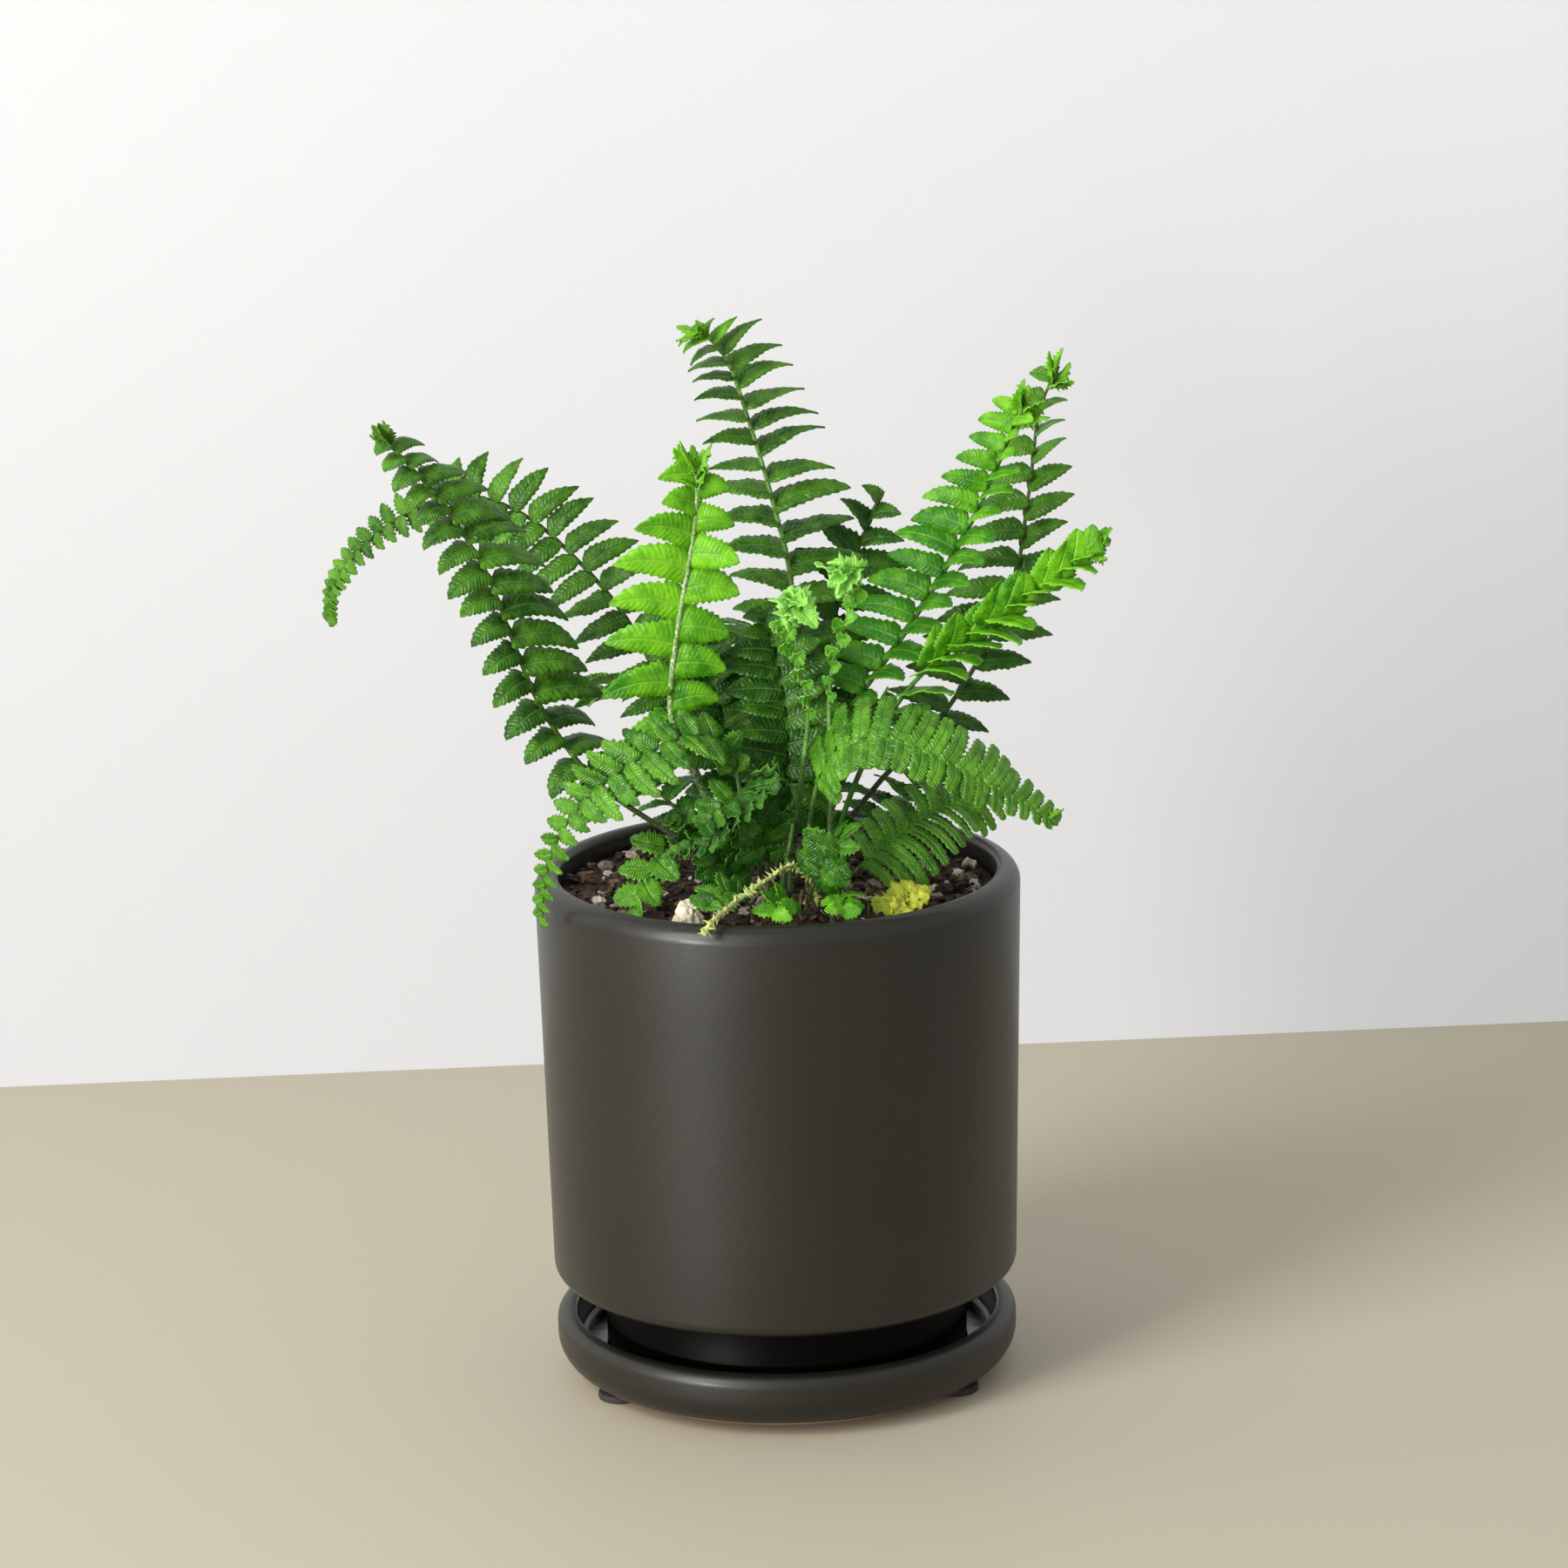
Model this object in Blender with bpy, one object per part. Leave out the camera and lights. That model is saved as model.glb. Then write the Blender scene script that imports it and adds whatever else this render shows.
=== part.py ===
"""A jester's crown fern in a matte black cylinder pot that stands on its own saucer.

Every size below is in millimetres about the pot's upright axis, with height counted from
the surface that the saucer's feet stand on. The whole model is moved as one, so that the
world origin lies under the middle of its bounding box, and it is built in metres.
"""

import math
import random
from dataclasses import dataclass

import bmesh
import bpy
from mathutils import Vector, geometry, noise
from mathutils.bvhtree import BVHTree

MM = 0.001
GAP = 0.3

# Place of the pot's axis in the model's frame
POT_AXIS = (14.1, -2.9)

# Pot
POT_SIDES = 36
RIM_HEIGHT = 124.0
RIM_RADIUS = 57.5
RIM_OUTER_ROUND = 4.0
RIM_INNER_ROUND = 1.7
WALL = 5.7
BODY_FOOT_HEIGHT = 25.2
BODY_FOOT_RADIUS = 55.7
BODY_FOOT_ROUND = 3.0
FOOT_RADIUS = 43.5
FOOT_WALL = 5.5
FLOOR_THICKNESS = 5.2
DRAIN_RADIUS = 6.0

# Saucer and its three pads
SAUCER_BASE = 2.0
SAUCER_RADIUS = 55.4
SAUCER_TOP_ROUND = 3.0
SAUCER_FOOT_ROUND = 8.0
SAUCER_ROUND_CENTRE = 12.7
SAUCER_LIP_ROUND = 1.6
SAUCER_INNER_RADIUS = 50.4
SAUCER_FLOOR = 7.0
SAUCER_INNER_ROUND = 2.0
PAD_RADIUS = 5.5
PAD_EDGE = 0.6
PAD_SIDES = 12
PAD_CIRCLE = 46.0
PAD_BEARINGS = (-150.0, -30.0, 90.0)

# Potting mix
SOIL_HEIGHT = 118.6
SOIL_CRUMBS = 110
GOLDEN_ANGLE = math.pi * (3 - math.sqrt(5))
SOIL_RELIEF = 1.2
SOIL_GRAIN = 9.0
HOLE_FOOT = 105.0
HOLE_SIDES = 6
HOLE_ROOM = 0.6
STEM_FOOT = HOLE_FOOT + GAP
STRAIGHT_TOP = 122.0

# Pale stone on the mix
STONE_CENTRE = (-20.7, -39.0)
STONE_HALF = (4.1, 3.3, 3.1)
STONE_TURN = -20.0

# Blades
BLADE = 0.6
NECK = 1.3
NECK_SHARE = 0.12
RAIL_STEP = 9.0
ROUTE_SAMPLES = 160

# Outline of a leaflet: place along it, then how far its front and back edges stand out,
# in shares of its width. The front edge has the ear that such leaflets have at their foot.
EARED = ((0.15, 0.62, 0.36), (0.47, 0.38, 0.46), (0.79, 0.36, 0.31))
SIMPLE = ((0.18, 0.60, 0.38), (0.64, 0.40, 0.42))
LOBED = ((0.40, 0.34, 0.34), (0.78, 0.62, 0.58))
BLUNT = ((0.30, 0.50, 0.40), (0.84, 0.40, 0.36))
STUBBY = ((0.48, 0.46, 0.46),)
STUBBY_LENGTH = 5.5

# What a leaflet tries, in turn, where its first place is taken: degrees more of lift,
# degrees more of pitch and its share of full size.
SHIFTS = (
    (0, 0, 1.0), (9, 0, 1.0), (-9, 0, 1.0), (0, 14, 1.0), (0, -14, 1.0),
    (18, 8, 0.95), (-18, -8, 0.95), (18, -8, 0.9), (-18, 8, 0.9), (0, 0, 0.8),
    (28, 0, 0.8), (-28, 0, 0.8), (12, 20, 0.75), (-12, -20, 0.75), (0, 0, 0.6),
    (35, 10, 0.6), (-35, -10, 0.6), (0, 0, 0.45),
)


@dataclass(frozen=True)
class Frond:
    """One frond: its stem's route, how its blade faces and how its leaflets stand on it.

    The stem rises straight from its foot in the mix and then follows the route. Pairs of
    values hold at the first leaflet and at the tip. Directions are of the upper face.
    Angles are in degrees: sweep turns a leaflet towards the tip, skew turns those on the
    right away from it and those on the left towards it, lift raises a leaflet off the
    blade's plane and pitch turns its upper face towards the tip.
    """

    name: str
    finish: str
    foot: tuple
    route: tuple
    face: tuple
    pairs: int
    leafy_from: float = 0.4
    length: float = 17.0
    width: float = 7.2
    profile: tuple = ((0.0, 0.75), (0.15, 1.0), (0.7, 0.85), (1.0, 0.3))
    right: float = 1.0
    left: float = 1.0
    sweep: tuple = (2, 25)
    skew: tuple = (0, 0)
    lift: tuple = (12, 12)
    pitch: tuple = (15, 15)
    twist: float = 10.0
    curl: float = 0.12
    hook: float = 0.06
    droop: float = 0.0
    stem: float = 0.85
    outline: tuple = SIMPLE


FRONDS = (
    Frond(
        "frond_bright_front", "frond_bright", (-8, -8),
        ((-13, -10, 136), (-21, -13, 155), (-24, -14, 166), (-22, -17, 184), (-18, -18, 205),
         (-16.5, -19, 216), (-17, -20, 225)),
        ((0.05, -1, 0.1), (0.1, -1, 0.1)), 8, leafy_from=0.42, length=18.4, width=8.8,
        profile=((0.0, 0.85), (0.3, 0.92), (0.58, 1.0), (0.83, 0.7), (1.0, 0.45)), right=0.72,
        sweep=(-8, 14), lift=(4, 14), pitch=(8, -4), twist=6, curl=0.1, hook=0.06, stem=1.05,
        outline=EARED,
    ),
    Frond(
        "frond_tall_centre", "frond_dark", (3, 3),
        ((5, 7, 150), (5, 12, 187), (1, 15, 208), (-4.6, 14, 229), (-9.5, 10, 244), (-17, 5, 253)),
        ((0, -1, 0.15), (0.15, -0.75, 0.5)), 18, leafy_from=0.27, length=19.5, width=7.8,
        profile=((0.0, 0.85), (0.2, 1.0), (0.5, 0.95), (0.85, 0.74), (1.0, 0.5)), left=0.82,
        sweep=(-2, 6), skew=(8, 18), lift=(3, 3), pitch=(24, 74), twist=12, curl=0.1, hook=0.03, stem=0.95,
        outline=EARED,
    ),
    Frond(
        "frond_left_tall", "frond_dark", (-11, -3),
        ((-25, -3, 133), (-42, -3, 146), (-54, -5, 164), (-61, -9, 184), (-66, -11, 199),
         (-76, -12, 216), (-89, -14, 232)),
        ((0.35, -0.9, 0.2), (0.4, -0.85, 0.35)), 16, leafy_from=0.3, length=18.5, width=7.4,
        profile=((0.0, 0.95), (0.2, 1.0), (0.7, 0.9), (0.88, 0.65), (1.0, 0.4)), left=0.62,
        sweep=(-16, -10), skew=(15, 20), lift=(10, 10), pitch=(24, 34), twist=16, curl=0.2, stem=0.85,
        outline=EARED,
    ),
    Frond(
        "frond_right_middle", "frond_bright", (8, -1),
        ((11, -1, 140), (17, 0, 159), (32, 3, 180), (45, 6, 200), (54, 8, 218), (60, 5, 234)),
        ((-0.8, -0.6, 0.1), (-0.6, -0.75, 0.2)), 13, leafy_from=0.36, length=17.0, width=7.2,
        profile=((0.0, 0.8), (0.2, 1.0), (0.7, 0.8), (1.0, 0.4)), right=0.85,
        sweep=(-6, 6), skew=(-20, -20), lift=(18, 18), pitch=(18, 8), twist=6, curl=0.06, stem=0.85,
        outline=EARED,
    ),
    Frond(
        "frond_right_low", "frond_bright", (12, -7),
        ((17, -7, 141), (26, -8, 160), (37, -10, 174), (58, -12, 189), (71, -12, 198),
         (79, -13, 204)),
        ((-0.35, -0.7, 0.6), (-0.35, -0.75, 0.5)), 13, leafy_from=0.36, length=18.0, width=6.6,
        profile=((0.0, 0.8), (0.2, 1.0), (0.7, 0.85), (1.0, 0.5)), left=0.75,
        sweep=(48, 34), skew=(10, -8), lift=(2, 12), pitch=(44, 12), twist=8, curl=0.08, stem=0.85,
        outline=EARED,
    ),
    Frond(
        "frond_right_front", "frond_mid", (7, -14),
        ((8, -18, 141), (13, -26, 156), (24, -33, 162), (37, -37, 158), (51, -37, 150),
         (65, -35, 141)),
        ((0.0, -0.62, 0.78), (0.25, -0.6, 0.75)), 14, leafy_from=0.4, length=14.5, width=4.9,
        profile=((0.0, 1.0), (0.3, 1.0), (0.65, 0.75), (1.0, 0.3)), right=0.66,
        sweep=(-8, 18), skew=(-12, 4), lift=(6, 6), pitch=(10, 8), twist=8, curl=0.16, stem=0.75,
        outline=BLUNT,
    ),
    Frond(
        "frond_right_back", "frond_dark", (11, 8),
        ((24, 15, 139), (42, 24, 156), (57, 30, 181), (62, 33, 205), (65, 36, 225),
         (70, 34, 237)),
        ((-0.1, -0.97, 0.2), (0.0, -0.95, 0.25)), 13, leafy_from=0.38, length=16.5, width=7.2,
        profile=((0.0, 0.85), (0.2, 1.0), (0.6, 0.85), (1.0, 0.35)), right=0.9,
        sweep=(2, 10), skew=(-18, -24), lift=(6, 8), pitch=(24, 34), twist=14, curl=0.1, stem=0.85,
    ),
    Frond(
        "frond_left_front", "frond_mid", (-7, -13),
        ((-8, -14, 143), (-11, -17, 157), (-21, -23, 161), (-33, -27, 156), (-44, -29, 148),
         (-51, -30, 138), (-54, -28, 127), (-55, -27, 117)),
        ((-0.05, -0.62, 0.78), (-0.55, -0.8, 0.2)), 14, leafy_from=0.36, length=15.0, width=5.6,
        profile=((0.0, 0.85), (0.15, 1.0), (0.45, 0.9), (0.62, 0.5), (1.0, 0.22)), left=0.9,
        sweep=(0, 22), skew=(-28, -4), lift=(10, 6), pitch=(12, 5), twist=8, curl=0.12, stem=0.75,
        outline=EARED,
    ),
    Frond(
        "frond_right_hanging", "frond_mid", (14, -22),
        ((16, -22, 126), (26, -18, 133), (37, -13, 139), (50, -8, 143)),
        ((-0.2, -0.85, 0.5), (-0.1, -0.8, 0.55)), 9, leafy_from=0.42, length=14.0, width=4.8,
        profile=((0.0, 0.8), (0.2, 1.0), (1.0, 0.6)), left=0.85,
        sweep=(8, 16), lift=(0, 0), pitch=(6, 6), twist=5, curl=0.08, droop=0.1, stem=0.75,
        outline=BLUNT,
    ),
    Frond(
        "frond_left_arching", "frond_dark", (-10, 6),
        ((-21, 12, 150), (-33, 18, 178), (-48, 24, 196), (-61, 27, 206), (-74, 28, 209),
         (-87, 26, 205), (-98, 23, 197), (-104, 21, 188), (-105, 19, 179)),
        ((0.15, -0.9, 0.4), (-0.6, -0.7, 0.3)), 17, leafy_from=0.3, length=15.0, width=5.6,
        profile=((0.0, 0.8), (0.15, 1.0), (0.5, 0.88), (0.66, 0.42), (1.0, 0.2)),
        sweep=(-10, 10), skew=(14, 2), lift=(8, 10), pitch=(14, 12), twist=12, curl=0.1, stem=0.8,
    ),
    Frond(
        "frond_front_small", "frond_mid", (-17, -11),
        ((-19, -14, 131), (-24, -19, 136), (-29, -26, 131), (-34, -32, 122)),
        ((-0.1, -0.85, 0.5), (-0.2, -0.9, 0.35)), 4, leafy_from=0.52, length=9.0, width=7.0,
        profile=((0.0, 0.9), (0.4, 1.0), (1.0, 0.7)),
        sweep=(15, 35), lift=(3, 3), pitch=(4, 4), twist=0, curl=0.06, stem=0.6, outline=LOBED,
    ),
    Frond(
        "frond_edge_on", "frond_blue", (1, -17),
        ((4, -19, 141), (1, -23, 151), (-6, -28, 146), (-16, -31, 138), (-26, -29, 134)),
        ((-0.5, -0.35, 0.78), (-0.3, -0.3, 0.9)), 7, leafy_from=0.42, length=11.5, width=7.0,
        sweep=(10, 30), lift=(3, 3), pitch=(8, 8), twist=5, curl=0.1, stem=0.7,
    ),
    Frond(
        "frond_behind_centre", "frond_dark", (6, 10),
        ((9, 13, 146), (13, 17, 172), (19, 21, 191), (27, 25, 209)),
        ((0.1, -0.95, 0.3), (0.2, -0.9, 0.3)), 8, leafy_from=0.38, length=16.5, width=7.0,
        sweep=(8, 30), lift=(6, 6), pitch=(16, 24), twist=10, curl=0.1, stem=0.75,
    ),
    Frond(
        "crozier_left", "frond_lime", (3, -9),
        ((6, -13, 147), (8, -17, 166), (5, -19, 178), (2, -20, 187), (4, -23, 193),
         (7, -25, 191)),
        ((0.1, -1, 0.1), (0.2, -0.8, -0.5)), 6, leafy_from=0.62, length=9.0, width=7.0,
        profile=((0.0, 0.6), (0.5, 1.0), (1.0, 0.8)),
        sweep=(20, 45), lift=(15, 20), pitch=(-10, 0), twist=0, curl=-0.1, stem=0.9,
        outline=LOBED,
    ),
    Frond(
        "crozier_right", "frond_lime", (12, -13),
        ((13, -15, 148), (13, -17, 170), (16, -19, 184), (20, -21, 194), (19, -24, 199),
         (16, -25, 198)),
        ((-0.1, -1, 0.1), (-0.3, -0.8, -0.4)), 6, leafy_from=0.62, length=9.0, width=7.0,
        profile=((0.0, 0.6), (0.5, 1.0), (1.0, 0.8)),
        sweep=(20, 45), lift=(15, 20), pitch=(-10, 0), twist=0, curl=-0.1, stem=0.85,
        outline=LOBED,
    ),
    Frond(
        "frond_inner_left", "frond_dark", (-4, -2),
        ((-7, 1, 140), (-12, 3, 158), (-18, 6, 182)),
        ((0.1, -0.95, 0.3), (0.1, -0.9, 0.4)), 7, leafy_from=0.35, length=15.0, width=7.4,
        pitch=(15, 20), stem=0.7,
    ),
    Frond(
        "frond_inner_right", "frond_mid", (8, -5.2),
        ((13, -6, 138), (19, -6, 152), (27, -4, 168)),
        ((-0.1, -0.95, 0.3), (0.0, -0.9, 0.4)), 6, leafy_from=0.35, length=14.0, width=7.2,
        pitch=(10, 15), stem=0.7,
    ),
    Frond(
        "frond_inner_centre", "frond_dark", (1, -4),
        ((2, -5, 138), (3, -6, 156), (1, -7, 174), (-3, -8, 188)),
        ((0.0, -0.97, 0.2), (0.1, -0.9, 0.4)), 8, leafy_from=0.36, length=15.0, width=7.4,
        pitch=(15, 24), stem=0.75,
    ),
    Frond(
        "frond_inner_front", "frond_mid", (-2, -12),
        ((-3, -15, 132), (-6, -20, 142), (-11, -26, 146), (-17, -33, 141)),
        ((0.1, -0.7, 0.7), (0.0, -0.6, 0.8)), 6, leafy_from=0.42, length=13.0, width=6.6,
        pitch=(10, 15), stem=0.7,
    ),
    Frond(
        "frond_inner_side", "frond_mid", (-10, -19),
        ((-13, -21, 131), (-18, -23, 138), (-26, -24, 141)),
        ((0.1, -0.75, 0.65), (0.0, -0.7, 0.7)), 5, leafy_from=0.42, length=12.0, width=6.6,
        pitch=(10, 15), stem=0.6,
    ),
    Frond(
        "frond_inner_low", "frond_mid", (7, -24),
        ((9, -26, 127), (12, -29, 134), (14, -34, 138), (15, -41, 136)),
        ((0.1, -0.8, 0.6), (0.0, -0.7, 0.7)), 5, leafy_from=0.5, length=12.0, width=6.2,
        pitch=(10, 15), stem=0.6,
    ),
    Frond(
        "frond_back_centre", "frond_dark", (0, 15),
        ((0, 27, 146), (-2, 41, 164), (-4, 55, 169), (-6, 66, 163)),
        ((0, -0.6, 0.8), (0, 0.2, 1)), 6, leafy_from=0.36, length=17.0, width=7.4, stem=0.8,
    ),
    Frond(
        "frond_back_left", "frond_dark", (-7, 12),
        ((-14, 23, 144), (-26, 37, 158), (-38, 49, 158), (-46, 58, 150)),
        ((0.3, -0.4, 0.85), (-0.2, 0.2, 1)), 6, leafy_from=0.36, length=16.0, width=7.4, stem=0.8,
    ),
    Frond(
        "frond_back_right", "frond_dark", (8, 15),
        ((15, 27, 138), (24, 40, 148), (34, 51, 146), (41, 60, 137)),
        ((-0.3, -0.4, 0.85), (0.2, 0.2, 1)), 6, leafy_from=0.36, length=16.0, width=7.4, stem=0.8,
    ),
    Frond(
        "frond_low_left", "frond_mid", (-14, 9),
        ((-24, 21, 133), (-35, 31, 139), (-46, 39, 135)),
        ((0.2, -0.3, 0.9), (-0.3, 0.1, 1)), 6, leafy_from=0.4, length=13.5, width=6.6, stem=0.7,
    ),
    Frond(
        "frond_low_right", "frond_mid", (16, 11),
        ((27, 21, 131), (38, 31, 136), (48, 39, 131)),
        ((-0.2, -0.3, 0.9), (0.3, 0.1, 1)), 6, leafy_from=0.4, length=13.5, width=6.6, stem=0.7,
    ),
    Frond(
        "sprig_left", "frond_mid", (-6, -30),
        ((-8, -32, 124), (-12, -36, 127), (-16, -42, 125)),
        ((0.1, -0.7, 0.7), (0, -0.5, 0.85)), 3, leafy_from=0.66, length=7.0, width=5.6,
        profile=((0.0, 0.8), (0.5, 1.0), (1.0, 0.8)), lift=(8, 8), stem=0.5, outline=LOBED,
    ),
    Frond(
        "sprig_front", "frond_bright", (3, -33),
        ((2, -36, 124), (0, -41, 126), (-1, -46, 124)),
        ((0.1, -0.6, 0.8), (0, -0.5, 0.85)), 3, leafy_from=0.66, length=6.5, width=5.2,
        profile=((0.0, 0.8), (0.5, 1.0), (1.0, 0.8)), lift=(8, 8), stem=0.5, outline=LOBED,
    ),
    Frond(
        "sprig_right", "frond_bright", (13, -31),
        ((14, -35, 124), (15, -41, 126), (15, -46, 124)),
        ((0, -0.6, 0.8), (0, -0.5, 0.85)), 3, leafy_from=0.66, length=6.0, width=5.0,
        profile=((0.0, 0.8), (0.5, 1.0), (1.0, 0.8)), lift=(8, 8), stem=0.5, outline=LOBED,
    ),
    Frond(
        "frond_yellow", "frond_yellow", (21, -26),
        ((24, -29, 123), (28, -33, 124), (31, -37, 123)),
        ((0.1, -0.5, 0.85), (0.1, -0.5, 0.85)), 2, leafy_from=0.7, length=7.5, width=6.5,
        profile=((0.0, 0.8), (0.5, 1.0), (1.0, 0.8)), lift=(6, 6), stem=0.5, outline=LOBED,
    ),
)

RUNNER_FOOT = (9, -18.5)
RUNNER_ROUTE = (
    (7, -20, 127), (3, -27, 131), (-3, -37, 130), (-10, -48, 128), (-15, -56, 126),
    (-17, -60, 124),
)
RUNNER_RADIUS = 0.8
RUNNER_SCALES = 12


def make_material(name, colour, roughness, metallic=0.0):
    """A plain Principled material."""
    material = bpy.data.materials.new(name)
    material.use_nodes = True
    shader = material.node_tree.nodes["Principled BSDF"]
    shader.inputs["Base Color"].default_value = (*colour, 1.0)
    shader.inputs["Roughness"].default_value = roughness
    shader.inputs["Metallic"].default_value = metallic
    return material


def add_object(name, vertices, faces, material, stand, flat_faces=False):
    """An object from points in millimetres, with its faces turned outwards.

    With flat_faces it is cut into triangles and keeps its facets. Otherwise it is shaded
    smooth, apart from its sharp edges.
    """
    mesh = bpy.data.meshes.new(name)
    mesh.from_pydata([Vector(v) * MM for v in vertices], [], faces)
    shape = bmesh.new()
    shape.from_mesh(mesh)
    if flat_faces:
        bmesh.ops.triangulate(shape, faces=shape.faces)
    bmesh.ops.recalc_face_normals(shape, faces=shape.faces)
    shape.to_mesh(mesh)
    shape.free()
    if not flat_faces:
        mesh.shade_smooth()
        mesh.set_sharp_from_angle(angle=math.radians(35))
    mesh.materials.append(material)
    made = bpy.data.objects.new(name, mesh)
    bpy.context.scene.collection.objects.link(made)
    made.parent = stand
    return made


def arc(centre_radius, centre_height, radius, start, end, steps):
    """Points of a turned profile along an arc, in degrees from straight outwards."""
    angles = [math.radians(start + (end - start) * i / steps) for i in range(steps + 1)]
    return [
        (centre_radius + radius * math.cos(a), centre_height + radius * math.sin(a))
        for a in angles
    ]


def turned(profile, sides, closed):
    """Vertices and faces of a profile turned about the pot's axis.

    A closed profile makes a ring. An open one starts and ends on the axis.
    """
    shape = bmesh.new()
    points = [shape.verts.new((radius, 0.0, height)) for radius, height in profile]
    pairs = list(zip(points, points[1:]))
    if closed:
        pairs.append((points[-1], points[0]))
    edges = [shape.edges.new(pair) for pair in pairs]
    bmesh.ops.spin(
        shape, geom=points + edges, cent=(0, 0, 0), axis=(0, 0, 1), dvec=(0, 0, 0),
        angle=math.tau, steps=sides, use_merge=True, use_duplicate=False,
    )
    bmesh.ops.remove_doubles(shape, verts=shape.verts, dist=0.001)
    shape.verts.index_update()
    vertices = [v.co.copy() for v in shape.verts]
    faces = [[v.index for v in f.verts] for f in shape.faces]
    shape.free()
    return vertices, faces


def pot_profile():
    """The pot's section: body, undercut foot, drain hole and inside."""
    body_foot = BODY_FOOT_HEIGHT
    foot_base = SAUCER_FLOOR + GAP
    floor = foot_base + FLOOR_THICKNESS
    step = body_foot + FOOT_WALL
    points = [(DRAIN_RADIUS, foot_base), (FOOT_RADIUS - 1, foot_base), (FOOT_RADIUS, foot_base + 1)]
    points += [(FOOT_RADIUS, body_foot)]
    points += arc(
        BODY_FOOT_RADIUS - BODY_FOOT_ROUND, body_foot + BODY_FOOT_ROUND, BODY_FOOT_ROUND, -90, 0, 2
    )
    points += arc(
        RIM_RADIUS - RIM_OUTER_ROUND, RIM_HEIGHT - RIM_OUTER_ROUND, RIM_OUTER_ROUND, 0, 90, 3
    )
    points += [(RIM_RADIUS - WALL + RIM_INNER_ROUND * 0.3, RIM_HEIGHT - RIM_INNER_ROUND * 0.3)]
    points += [(RIM_RADIUS - WALL, RIM_HEIGHT - RIM_INNER_ROUND)]
    points += [(BODY_FOOT_RADIUS - WALL, step), (FOOT_RADIUS - FOOT_WALL, step)]
    points += [(FOOT_RADIUS - FOOT_WALL, floor), (DRAIN_RADIUS, floor)]
    return points


def saucer_profile():
    """The saucer's section, from the middle of its underside to the middle of its floor."""
    foot_round = SAUCER_FOOT_ROUND
    points = [(0.0, SAUCER_BASE)]
    points += arc(SAUCER_RADIUS - foot_round, SAUCER_BASE + foot_round, foot_round, -90, 0, 3)
    points += arc(
        SAUCER_RADIUS - SAUCER_TOP_ROUND, SAUCER_ROUND_CENTRE, SAUCER_TOP_ROUND, 0, 90, 4
    )
    lip_height = SAUCER_ROUND_CENTRE + SAUCER_TOP_ROUND - SAUCER_LIP_ROUND
    points += arc(
        SAUCER_INNER_RADIUS + SAUCER_LIP_ROUND, lip_height, SAUCER_LIP_ROUND, 90, 180, 2
    )
    points += [(SAUCER_INNER_RADIUS, SAUCER_FLOOR + SAUCER_INNER_ROUND)]
    points += [(SAUCER_INNER_RADIUS - SAUCER_INNER_ROUND, SAUCER_FLOOR), (0.0, SAUCER_FLOOR)]
    return points


def soil_height(x, y):
    """Height of the potting mix: crumbs of two sizes, flat where the stone lies."""
    coarse = noise.noise(Vector((x / SOIL_GRAIN, y / SOIL_GRAIN, 3.7)))
    fine = noise.noise(Vector((x / SOIL_GRAIN * 2.3, y / SOIL_GRAIN * 2.3, 9.1)))
    away = math.hypot(x - STONE_CENTRE[0], y - STONE_CENTRE[1])
    blend = min(1.0, max(0.0, (away - 6.0) / 5.0))
    return SOIL_HEIGHT + SOIL_RELIEF * (coarse + 0.5 * fine) * blend


def ring_points(centre, radius, sides):
    """Points round a circle in the horizontal plane."""
    return [
        Vector((centre[0] + radius * math.cos(math.tau * i / sides),
                centre[1] + radius * math.sin(math.tau * i / sides)))
        for i in range(sides)
    ]


def stem_holes():
    """Centre and radius of the hole for each stem."""
    feet = [(frond.foot, frond.stem) for frond in FRONDS]
    feet.append((RUNNER_FOOT, RUNNER_RADIUS))
    return [(foot, half * math.sqrt(2) + HOLE_ROOM) for foot, half in feet]


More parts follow.
